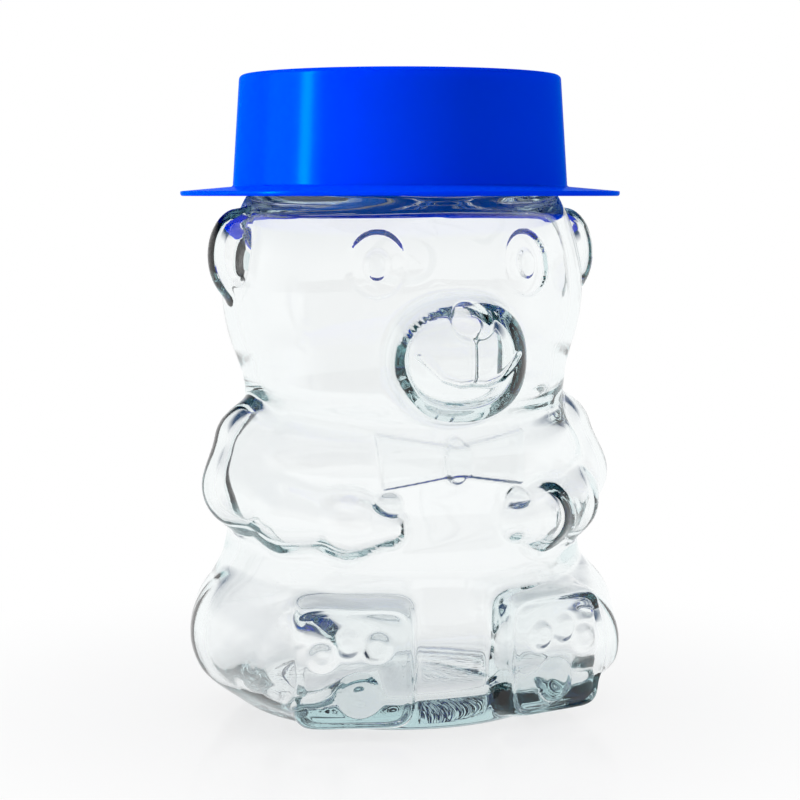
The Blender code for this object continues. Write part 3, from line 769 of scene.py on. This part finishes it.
def handling_marks() -> bpy.types.NodeTree:
    """Builds the group for the faint rubs and dust of a handled surface.

    Returns:
        A group with the inputs Scale and Amount, and the output Mask.
    """
    tree = bpy.data.node_groups.new("handling_marks", "ShaderNodeTree")
    group_input(tree, "Scale", 60.0)
    group_input(tree, "Amount", 0.5)
    tree.interface.new_socket("Mask", in_out="OUTPUT", socket_type="NodeSocketFloat")
    nodes, links = tree.nodes, tree.links
    inputs, outputs = nodes.new("NodeGroupInput"), nodes.new("NodeGroupOutput")
    place = nodes.new("ShaderNodeTexCoord")
    noise, ramp = nodes.new("ShaderNodeTexNoise"), nodes.new("ShaderNodeMapRange")
    fill(noise, {"Detail": 5.0})
    fill(ramp, {"From Min": 0.45, "From Max": 0.75})
    links.new(place.outputs["Object"], noise.inputs["Vector"])
    links.new(inputs.outputs["Scale"], noise.inputs["Scale"])
    links.new(noise.outputs["Fac"], ramp.inputs["Value"])
    share = reckoned(tree, "MULTIPLY", ramp.outputs["Result"], inputs.outputs["Amount"])
    links.new(share, outputs.inputs["Mask"])
    return tree


class Groups(Enum):
    """The shared node groups, by name."""

    WAVES = "moulding_waves"
    MARKS = "handling_marks"

    def placed(self, tree: bpy.types.NodeTree, **values: float) -> bpy.types.Node:
        """Places the group in a material with its own values.

        Args:
            tree: The material's nodes.
            values: The group's inputs by name, with _ in place of each space.

        Returns:
            The placed node.
        """
        if self.value not in bpy.data.node_groups:
            {Groups.WAVES: moulding_waves, Groups.MARKS: handling_marks}[self]()
        node = tree.nodes.new("ShaderNodeGroup")
        node.node_tree = bpy.data.node_groups[self.value]
        for name, value in values.items():
            node.inputs[name.replace("_", " ")].default_value = value
        return node


@dataclass(frozen=True)
class Finish:
    """What every finish shares: a Principled shader with plain values and a waved surface."""

    name: str
    colour: Colour
    roughness: float
    ior: float = 1.5
    gloss_tint: Colour = (1.0, 1.0, 1.0)
    gloss_level: float = 0.5
    wave_scale: float = 120.0
    grain_scale: float = 900.0
    grain_share: float = 0.2
    bump: float = 0.05
    bump_height: float = 0.1 * MM

    def shader(self) -> tuple[bpy.types.Material, bpy.types.Node]:
        """Makes the material with its colour, gloss and surface.

        Returns:
            The material and its Principled shader.
        """
        material = bpy.data.materials.new(self.name)
        material.use_nodes = True
        tree = material.node_tree
        shader = tree.nodes["Principled BSDF"]
        fill(shader, {"Base Color": (*self.colour, 1), "Roughness": self.roughness, "IOR": self.ior,
                      "Specular Tint": (*self.gloss_tint, 1), "Specular IOR Level": self.gloss_level})
        waves = Groups.WAVES.placed(tree, Wave_Scale=self.wave_scale, Grain_Scale=self.grain_scale,
                                    Grain_Share=self.grain_share)
        bump = tree.nodes.new("ShaderNodeBump")
        fill(bump, {"Strength": self.bump, "Distance": self.bump_height})
        tree.links.new(waves.outputs["Height"], bump.inputs["Height"])
        tree.links.new(bump.outputs["Normal"], shader.inputs["Normal"])
        return material, shader


@dataclass(frozen=True)
class ClearGlass(Finish):
    """Clear moulded glass that turns greenish where it is thick."""

    depth_colour: Colour = (0.42, 0.67, 0.69)
    depth_density: float = 20.0

    def material(self) -> bpy.types.Material:
        """Makes the glass.

        Returns:
            The material.
        """
        material, shader = self.shader()
        fill(shader, {"Transmission Weight": 1.0})
        depth = material.node_tree.nodes.new("ShaderNodeVolumeAbsorption")
        fill(depth, {"Color": (*self.depth_colour, 1), "Density": self.depth_density})
        output = material.node_tree.nodes["Material Output"]
        material.node_tree.links.new(depth.outputs["Volume"], output.inputs["Volume"])
        return material


@dataclass(frozen=True)
class WornFinish(Finish):
    """A solid finish whose gloss and colour vary a little with handling."""

    marks_scale: float = 60.0
    marks_amount: float = 0.5
    rubbed_roughness: float = 0.5
    rubbed_colour: Colour = (0.5, 0.5, 0.5)
    metallic: float = 0.0
    glow: float = 0.0
    glow_reach: float = 5.0 * MM
    glow_radii: Colour = (0.1, 0.5, 1.0)

    def material(self) -> bpy.types.Material:
        """Makes the finish.

        Returns:
            The material.
        """
        material, shader = self.shader()
        tree = material.node_tree
        fill(shader, {"Metallic": self.metallic, "Subsurface Weight": self.glow,
                      "Subsurface Scale": self.glow_reach, "Subsurface Radius": self.glow_radii})
        marks = Groups.MARKS.placed(tree, Scale=self.marks_scale, Amount=self.marks_amount)
        gloss, colour = tree.nodes.new("ShaderNodeMix"), tree.nodes.new("ShaderNodeMix")
        colour.data_type = "RGBA"
        fill(gloss, {"A": self.roughness, "B": self.rubbed_roughness})
        fill(colour, {"A": (*self.colour, 1), "B": (*self.rubbed_colour, 1)})
        for mix, socket in ((gloss, "Roughness"), (colour, "Base Color")):
            tree.links.new(marks.outputs["Mask"], mix.inputs["Factor"])
            tree.links.new(mix.outputs["Result"], shader.inputs[socket])
        return material


GLASS = ClearGlass("clear_glass", (1.0, 1.0, 1.0), 0.0, ior=1.52, wave_scale=90.0, grain_scale=420.0,
                   grain_share=0.35, bump=0.25, bump_height=0.05 * MM)
PLASTIC = WornFinish("blue_plastic", (0.0, 0.032, 0.67), 0.16, ior=1.49, gloss_tint=(0.0, 0.6, 1.0),
                     gloss_level=0.0, metallic=0.2, wave_scale=60.0, grain_scale=3000.0, grain_share=0.6,
                     bump=0.15, bump_height=0.05 * MM, marks_amount=0.35, rubbed_roughness=0.26,
                     rubbed_colour=(0.0, 0.036, 0.65), glow=0.7)
TINPLATE = WornFinish("lacquered_tinplate", (0.0, 0.21, 0.95), 0.26, gloss_tint=(0.0, 0.5, 1.0),
                      gloss_level=0.25, metallic=0.1, grain_scale=5000.0, bump=0.2, bump_height=0.02 * MM,
                      marks_amount=0.6, rubbed_roughness=0.42, rubbed_colour=(0.01, 0.20, 0.80))
COMPOUND = WornFinish("sealing_compound", (0.86, 0.84, 0.78), 0.55, grain_scale=4000.0, bump=0.3,
                      bump_height=0.05 * MM, rubbed_roughness=0.7, rubbed_colour=(0.80, 0.77, 0.70))


def dressed(piece: bpy.types.Object, material: bpy.types.Material, body: str) -> None:
    """Gives a piece its material and its body, and reports it.

    Args:
        piece: The piece.
        material: Its material.
        body: The body of the frame that it rides on.
    """
    piece.data.materials.clear()
    piece.data.materials.append(material)
    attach(piece, body)
    LOG.info("%s: %d points, rides on %s", piece.name, len(piece.data.vertices), body)


# Pieces


@dataclass(frozen=True)
class ThreadedNeck:
    """The neck above the shoulder, with its bead, threads and rounded rim."""

    radius: float = 29.7 * MM
    mouth_radius: float = 26.95 * MM
    shoulder_level: float = 108.1 * MM
    rim_level: float = 118.5 * MM
    bead_radius: float = 31.05 * MM
    bead_level: float = 108.6 * MM
    bead_height: float = 1.4 * MM
    thread_count: int = 4
    thread_lead: float = 14.0 * MM
    thread_start: float = math.radians(90)
    thread_sweep: float = math.radians(75)
    thread_level: float = 111.1 * MM
    thread_height: float = 1.3 * MM
    thread_proud: float = 1.4 * MM
    rim_round: float = 1.2 * MM
    rim_steps: int = 12
    spacing: float = 0.22 * MM

    def outer_radii(self, turns: np.ndarray, level: float) -> np.ndarray:
        """Gives the radii of the neck's outside at one level, its threads as ramps.

        Args:
            turns: The directions.
            level: The level.

        Returns:
            The radii.
        """
        bead = 1 - abs(level - self.bead_level) / (self.bead_height / 2)
        radii = np.full(len(turns), self.radius)
        if bead > 0:
            radii += (self.bead_radius - self.radius) * math.sqrt(1 - (1 - bead) ** 4)
        across = np.mod(turns - self.thread_start, 2 * math.pi / self.thread_count)
        share = across / self.thread_sweep
        ramp = self.thread_level + self.thread_lead * across / (2 * math.pi)
        end_share = np.minimum(share, 1 - share)
        fade = np.clip(end_share * self.thread_sweep * self.radius / self.thread_proud, 0, 1)
        height = np.clip(1 - ((level - ramp) / (self.thread_height / 2)) ** 2, 0, 1) ** 0.5
        return radii + self.thread_proud * height * fade ** 0.5

    def add_to(self, rings: RingMesh, turns: np.ndarray, inner_turns: np.ndarray) -> None:
        """Adds the rings from the shoulder over the rim and down into the mouth.

        Args:
            rings: The mesh so far, up to the shoulder.
            turns: The directions of the outer rings.
            inner_turns: The directions of the inner rings.
        """
        flat_top = self.rim_level - self.rim_round
        count = round((flat_top - self.shoulder_level) / self.spacing)
        for step in range(1, count + 1):
            level = self.shoulder_level + (flat_top - self.shoulder_level) * step / count
            rings.add(self.outer_radii(turns, level), turns, level)
        middle = (self.radius + self.mouth_radius) / 2
        half = (self.radius - self.mouth_radius) / 2
        for step in range(1, self.rim_steps):
            angle = math.pi * step / self.rim_steps
            radius = middle + half * math.cos(angle)
            rings.add(np.full(len(turns), radius), turns, flat_top + self.rim_round * math.sin(angle))
        rings.add(np.full(len(inner_turns), self.mouth_radius), inner_turns, flat_top)


@dataclass(frozen=True)
class BearJar:
    """The glass jar: one wall of glass with the bear outside and a softer bear inside."""

    masses: Masses = Masses()
    face: Face = Face()
    tie: BowTie = BowTie()
    arm: Arm = Arm()
    leg: Leg = Leg()
    neck: ThreadedNeck = ThreadedNeck()
    heel_round: float = 1.6 * MM
    wall: float = 2.5 * MM
    floor_level: float = 5.4 * MM
    floor_round: float = 5.0 * MM
    floor_shares: tuple = (0.85, 0.7, 0.5, 0.3, 0.12)
    shoulder_round: float = 4.5 * MM
    punt_radius: float = 25.95 * MM
    punt_height: float = 2.8 * MM
    punt_steps: int = 48
    foot_steps: int = 8
    stipple: float = 0.12 * MM
    stipple_seed: int = 7
    sides: int = 360
    levels: int = 320
    inner_sides: int = 180
    inner_levels: int = 150
    inner_fold: float = 3.5 * MM
    crowding: float = 0.40

    def outside(self, points: np.ndarray) -> np.ndarray:
        """Gives the distance to the outer surface.

        Args:
            points: The points.

        Returns:
            Their distances.
        """
        side = on_one_side(points)
        body = self.masses.distance(side)
        body = joined(body, self.leg.limb().distance(side), self.leg.fold)
        body = carved(body, -self.masses.heel(points), self.leg.crease)
        body = self.leg.onto(body, side)
        body = self.arm.onto(body, side)
        body = self.tie.onto(body, side, self.masses)
        return self.face.onto(body, side, self.masses)

    def inside(self, points: np.ndarray) -> np.ndarray:
        """Gives the distance to the inner surface, which has only the large forms, as blown glass has.

        Args:
            points: The points.

        Returns:
            Their distances.
        """
        side = on_one_side(points)
        body = self.masses.distance(side)
        muzzle = self.face.muzzle(self.masses, self.face.inner_share)
        for form in (muzzle, self.face.ear, self.leg.limb(), self.leg.soft_foot(),
                     *self.arm.limbs(), self.arm.fingers()):
            body = joined(body, form.distance(side), self.inner_fold)
        return body + self.wall

    def outer_radii(self, turns: np.ndarray, levels: np.ndarray) -> np.ndarray:
        """Gives the radii of the outside, drawn in where the heel is rounded.

        Args:
            turns: The directions.
            levels: The levels, upwards.

        Returns:
            One row of radii for each level.
        """
        rest = np.clip(self.heel_round - levels, 0, self.heel_round)
        drawn_in = self.heel_round - np.sqrt(self.heel_round**2 - rest**2)
        return found_radii(self.outside, turns, levels) - drawn_in[:, None]

    def inner_radii(self, turns: np.ndarray, levels: np.ndarray) -> np.ndarray:
        """Gives the radii of the inside, rounded into its floor and drawn to the mouth above.

        Args:
            turns: The directions.
            levels: The levels, downwards.

        Returns:
            One row of radii for each level.
        """
        mouth = self.neck.mouth_radius
        near_floor = np.clip(1 - (levels - self.floor_level) / self.floor_round, 0, 1)
        near_top = np.clip(1 - (levels[0] - levels) / self.shoulder_round, 0, 1)[:, None]
        radii = found_radii(self.inside, turns, levels)
        radii -= self.floor_round * (1 - np.sqrt(1 - near_floor**2))[:, None]
        radii = radii + (mouth - radii) * near_top**2
        upper = levels > self.neck.shoulder_level - 2 * self.shoulder_round
        return np.where(upper[:, None], np.maximum(radii, mouth), radii)

    def add_base(self, rings: RingMesh, turns: np.ndarray, heel: np.ndarray) -> None:
        """Adds the rings of the hollow under the base and of the ring that the jar stands on.

        Args:
            rings: The mesh, with no ring yet.
            turns: The directions.
            heel: The radii of the lowest ring of the outside.
        """
        grains = np.random.default_rng(self.stipple_seed)
        for step in range(1, self.punt_steps + 1):
            angle = math.pi / 2 * step / self.punt_steps
            radius = self.punt_radius * math.sin(angle)
            rough = self.stipple * grains.random(len(turns)) * math.sin(angle)
            rings.add(np.full(len(turns), radius), turns, self.punt_height * math.cos(angle) + rough)
        for step in range(1, self.foot_steps):
            rough = self.stipple * grains.random(len(turns)) * (step % 2)
            rings.add(self.punt_radius + (heel - self.punt_radius) * step / self.foot_steps, turns, rough)

    def build(self) -> None:
        """Builds the whole jar as one closed mesh, from the base over the rim to the floor inside."""
        turns = bearings(self.sides, self.crowding)
        inner_turns = bearings(self.inner_sides, self.crowding)
        levels = self.neck.shoulder_level * np.arange(self.levels + 1) / self.levels
        outer = self.outer_radii(turns, levels)
        down = np.linspace(self.neck.shoulder_level - self.wall / 2, self.floor_level, self.inner_levels)
        inner = self.inner_radii(inner_turns, down)
        rings = RingMesh()
        self.add_base(rings, turns, outer[0])
        for level, ring in zip(levels, outer):
            rings.add(ring, turns, level)
        self.neck.add_to(rings, turns, inner_turns)
        for level, ring in zip(down, inner):
            rings.add(ring, inner_turns, level)
        for share in self.floor_shares:
            rise = self.punt_height / 2 * (1 - share**2)
            rings.add(inner[-1] * share, inner_turns, self.floor_level + rise)
        piece = rings.built("bear_glass")
        dressed(piece, GLASS.material(), "jar")
        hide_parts("glass_jar")


@dataclass(frozen=True)
class Hat:
    """The blue hat: a straight crown, a drooping brim and ribs inside that hold it on the cap."""

    top_level: float = 132.0 * MM
    brim_level: float = 107.0 * MM
    brim_radius: float = 45.9 * MM
    brim_thick: float = 1.3 * MM
    brim_taper: float = 0.8
    edge_share: float = 0.4
    droop: float = 0.7 * MM
    crown_radius: float = 35.0 * MM
    crown_top_radius: float = 33.5 * MM
    crown_round: float = 1.0 * MM
    wall: float = 1.5 * MM
    rib_count: int = 8
    rib_thick: float = 1.2 * MM
    rib_radius: float = 32.5 * MM
    rib_step: float = 4.5 * MM
    rib_round: float = 0.2 * MM
    step_level: float = 120.3 * MM
    sides: int = 192

    def outline(self) -> list:
        """Gives the outline of the shell, down its outer side and up its inner side.

        Returns:
            Its points of radius and level.
        """
        root = self.brim_level + self.brim_thick + self.droop
        edge = self.brim_thick * self.edge_share
        inner = self.crown_radius - self.wall
        return rounded([
            (0, self.top_level, 0),
            (self.crown_top_radius, self.top_level, self.crown_round),
            (self.crown_radius, root, self.crown_round / 2),
            (self.brim_radius, self.brim_level + self.brim_thick * self.brim_taper, edge / 2),
            (self.brim_radius, self.brim_level, edge),
            (inner, root - self.brim_thick, self.crown_round / 3),
            (self.crown_top_radius - self.wall, self.top_level - self.wall, self.crown_round / 2),
            (0, self.top_level - self.wall, 0),
        ])

    def ribs(self) -> bpy.types.Object:
        """Builds the ribs inside the crown, whose lower part grips the cap and whose step rests on it.

        Returns:
            The ribs as one object, with the rounding of their edges as a modifier.
        """
        root = self.brim_level + self.brim_thick + self.droop
        top = self.top_level - self.wall / 2
        outline = [
            (self.crown_radius - self.wall / 2, root),
            (self.crown_top_radius - self.wall / 2, top),
            (self.rib_radius - self.rib_step, top),
            (self.rib_radius - self.rib_step, self.step_level),
            (self.rib_radius, self.step_level),
            (self.rib_radius, root),
        ]
        points, faces = [], []
        for index in range(self.rib_count):
            turn = 2 * math.pi * (index + 1 / 2) / self.rib_count
            cosine, sine = math.cos(turn), math.sin(turn)
            for half in (-self.rib_thick / 2, self.rib_thick / 2):
                points += [(radius * cosine - half * sine, radius * sine + half * cosine, level)
                           for radius, level in outline]
            spots = range(len(outline))
            near = 2 * len(outline) * index
            far = near + len(outline)
            faces.append([near + i for i in spots])
            faces.append([far + i for i in reversed(spots)])
            for i in spots:
                before = (i - 1) % len(outline)
                faces.append([near + before, far + before, far + i, near + i])
        piece = meshed("hat_ribs", points, [], faces)
        edges = piece.modifiers.new("edges", "BEVEL")
        edges.width = self.rib_round
        edges.segments = 2
        return piece

    def build(self) -> None:
        """Builds the shell of the hat and its ribs."""
        plastic = PLASTIC.material()
        for piece in (turned("hat_shell", self.outline(), self.sides), self.ribs()):
            dressed(piece, plastic, "hat")
            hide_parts("hat")


@dataclass(frozen=True)
class Closure:
    """The lug cap and its sealing ring, which keep the shapes of their CAD solids."""

    cap: str = "lug_cap"
    ring: str = "sealing_ring"

    def dress(self) -> None:
        """Gives both CAD nodes their materials."""
        for name, finish in ((self.cap, TINPLATE), (self.ring, COMPOUND)):
            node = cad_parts[name]
            node.data.materials.clear()
            node.data.materials.append(finish.material())
            LOG.info("%s: dressed in %s", name, finish.name)


# Studio


@dataclass(frozen=True)
class Lamp:
    """An upright soft lamp that faces the jar's axis."""

    name: str
    azimuth: float
    width: float
    power: float
    height: float = 0.7
    distance: float = 0.9
    level: float = 0.25

    def hang(self, lit: bpy.types.Collection) -> None:
        """Hangs the lamp.

        Args:
            lit: Holds the only pieces that it lights.
        """
        data = bpy.data.lights.new(self.name, "AREA")
        data.shape = "RECTANGLE"
        data.size, data.size_y = self.width, self.height
        data.energy = self.power
        lamp = linked(self.name, data)
        place = Vector((math.sin(self.azimuth), -math.cos(self.azimuth), 0)) * self.distance
        lamp.location = place + Vector((0, 0, self.level))
        lamp.rotation_euler = (math.pi / 2, 0, self.azimuth)
        lamp.light_linking.receiver_collection = lit


@dataclass(frozen=True)
class Studio:
    """A pale glossy floor, a white surround, two soft lamps for the hat and the photograph's camera."""

    eye_distance: float = 436.5 * MM
    eye_level: float = 107.25 * MM
    azimuth: float = math.radians(-19.5)
    pitch: float = math.radians(5.66)
    lens: float = 93.1
    sensor_width: float = 36.0
    near_clip: float = 10 * MM
    floor_reach: float = 1.6
    floor_drop: float = 0.05 * MM
    floor_near: float = 0.055
    floor_far: float = 0.14
    floor_colour: Colour = (0.93, 0.935, 0.94)
    floor_roughness: float = 0.16
    near_white: float = 0.75
    light_level: float = 0.9
    light_bounces: int = 24
    lamps: tuple = (Lamp("strip_lamp", math.radians(-87.0), 0.13, 12.0),
                    Lamp("panel_lamp", math.radians(-100.0), 0.8, 8.0))
    ring_colour: Colour = (0.02, 0.06, 0.14)
    ring_rises: tuple = (math.radians(14), math.radians(30), math.radians(50), math.radians(64))
    card_start: float = -0.1
    card_full: float = 0.5
    card_level: float = 0.08

    def floor(self) -> None:
        """Makes the floor, a little below the jar's base."""
        sides = ((-1, -1), (1, -1), (1, 1), (-1, 1))
        corners = [(x * self.floor_reach, y * self.floor_reach, 0) for x, y in sides]
        floor = meshed("studio_floor", corners, [], [(0, 1, 2, 3)])
        floor.location.z = -self.floor_drop
        floor.data.materials.append(self.floor_finish())

    def floor_finish(self) -> bpy.types.Material:
        """Makes the floor's material: pale gloss under the jar that turns to plain white further out.

        Returns:
            The material, whose white only the camera, gloss and glass see.
        """
        material = bpy.data.materials.new("studio_floor")
        material.use_nodes = True
        tree = material.node_tree
        nodes, links = tree.nodes, tree.links
        shader, white = nodes["Principled BSDF"], nodes.new("ShaderNodeEmission")
        place, length = nodes.new("ShaderNodeNewGeometry"), nodes.new("ShaderNodeVectorMath")
        fade, mix = nodes.new("ShaderNodeMapRange"), nodes.new("ShaderNodeMixShader")
        length.operation = "LENGTH"
        fade.interpolation_type = "SMOOTHSTEP"
        fill(shader, {"Base Color": (*self.floor_colour, 1), "Roughness": self.floor_roughness})
        fill(fade, {"From Min": self.floor_near, "From Max": self.floor_far, "To Min": self.near_white})
        links.new(place.outputs["Position"], length.inputs[0])
        links.new(length.outputs["Value"], fade.inputs["Value"])
        share = reckoned(tree, "MULTIPLY", self.seen(tree), fade.outputs["Result"])
        links.new(share, mix.inputs["Fac"])
        links.new(shader.outputs["BSDF"], mix.inputs[1])
        links.new(white.outputs["Emission"], mix.inputs[2])
        links.new(mix.outputs["Shader"], nodes["Material Output"].inputs["Surface"])
        return material

    def seen(self, tree: bpy.types.NodeTree) -> bpy.types.NodeSocket:
        """Tells what is seen from what only gives light.

        Args:
            tree: The node tree.

        Returns:
            A socket that is 1 for camera rays and for rays from gloss or glass.
        """
        path = tree.nodes.new("ShaderNodeLightPath")
        total = path.outputs["Is Camera Ray"]
        for name in ("Is Glossy Ray", "Is Transmission Ray"):
            total = reckoned(tree, "MAXIMUM", total, path.outputs[name])
        return total

    def dark_parts(self, tree: bpy.types.NodeTree) -> bpy.types.NodeSocket:
        """Gives the surround's colour by direction, with what draws the dark lines of the glass.

        A dark blue ring lies above. A dark card behind the camera is there only for light that has
        turned back inside the glass, so that nothing seen straight through the glass is dark.

        Args:
            tree: The world's nodes.

        Returns:
            A socket with the colour, which is white elsewhere.
        """
        nodes, links = tree.nodes, tree.links
        place, height = nodes.new("ShaderNodeTexCoord"), nodes.new("ShaderNodeSeparateXYZ")
        ring, card = nodes.new("ShaderNodeValToRGB"), nodes.new("ShaderNodeMapRange")
        towards, both = nodes.new("ShaderNodeVectorMath"), nodes.new("ShaderNodeVectorMath")
        path, share = nodes.new("ShaderNodeLightPath"), nodes.new("ShaderNodeMix")
        white, dark = (1, 1, 1, 1), (*self.ring_colour, 1)
        ring.color_ramp.elements[0].color = white
        for rise, colour in zip(self.ring_rises, (white, dark, dark, white)):
            ring.color_ramp.elements.new(math.sin(rise)).color = colour
        towards.operation, both.operation = "DOT_PRODUCT", "SCALE"
        towards.inputs[1].default_value = (math.sin(self.azimuth), -math.cos(self.azimuth), 0)
        card.interpolation_type = "SMOOTHSTEP"
        fill(card, {"From Min": self.card_start, "From Max": self.card_full,
                    "To Min": 1.0, "To Max": self.card_level})
        fill(share, {"A": 1.0})
        links.new(place.outputs["Generated"], height.inputs["Vector"])
        links.new(place.outputs["Generated"], towards.inputs[0])
        links.new(height.outputs["Z"], ring.inputs["Fac"])
        links.new(towards.outputs["Value"], card.inputs["Value"])
        gloss, glass = path.outputs["Glossy Depth"], path.outputs["Transmission Depth"]
        links.new(reckoned(tree, "MINIMUM", gloss, glass), share.inputs["Factor"])
        links.new(card.outputs["Result"], share.inputs["B"])
        links.new(ring.outputs["Color"], both.inputs[0])
        links.new(share.outputs["Result"], both.inputs["Scale"])
        return both.outputs["Vector"]

    def surround(self) -> None:
        """Makes the world: white to the camera, white with dark parts to gloss and glass, else soft light."""
        world = bpy.data.worlds.new("studio")
        bpy.context.scene.world = world
        world.use_nodes = True
        tree = world.node_tree
        nodes, links = tree.nodes, tree.links
        light, white = nodes["Background"], nodes.new("ShaderNodeBackground")
        path, plain = nodes.new("ShaderNodeLightPath"), nodes.new("ShaderNodeVectorMath")
        mix = nodes.new("ShaderNodeMixShader")
        plain.operation = "MAXIMUM"
        fill(light, {"Color": (1, 1, 1, 1), "Strength": self.light_level})
        links.new(self.dark_parts(tree), plain.inputs[0])
        links.new(path.outputs["Is Camera Ray"], plain.inputs[1])
        links.new(plain.outputs["Vector"], white.inputs["Color"])
        links.new(self.seen(tree), mix.inputs["Fac"])
        links.new(light.outputs["Background"], mix.inputs[1])
        links.new(white.outputs["Background"], mix.inputs[2])
        links.new(mix.outputs["Shader"], nodes["World Output"].inputs["Surface"])

    def hang_lamps(self) -> None:
        """Hangs both lamps to the bear's right, for the hat's shell alone."""
        lit = bpy.data.collections.new("lit_by_lamps")
        lit.objects.link(bpy.data.objects["hat_shell"])
        for lamp in self.lamps:
            lamp.hang(lit)

    def camera(self) -> None:
        """Sets the camera where the photograph was taken from."""
        data = bpy.data.cameras.new("camera")
        data.lens, data.sensor_width, data.clip_start = self.lens, self.sensor_width, self.near_clip
        camera = linked("camera", data)
        camera.location = (self.eye_distance * math.sin(self.azimuth),
                           -self.eye_distance * math.cos(self.azimuth), self.eye_level)
        camera.rotation_euler = (math.pi / 2 - self.pitch, 0, self.azimuth)
        bpy.context.scene.camera = camera

    def build(self) -> None:
        """Builds the floor, the surround, the lamps and the camera, and lets light pass all the glass."""
        self.floor()
        self.surround()
        self.hang_lamps()
        self.camera()
        bpy.context.scene.view_settings.view_transform = "Standard"
        paths = bpy.context.scene.cycles
        paths.max_bounces = paths.glossy_bounces = paths.transmission_bounces = self.light_bounces


def main() -> None:
    """Builds the jar, its closure, its hat and the studio."""
    logging.basicConfig(level=logging.INFO, format="%(name)s %(message)s")
    BearJar().build()
    Closure().dress()
    Hat().build()
    Studio().build()


if __name__ == "__main__":
    main()
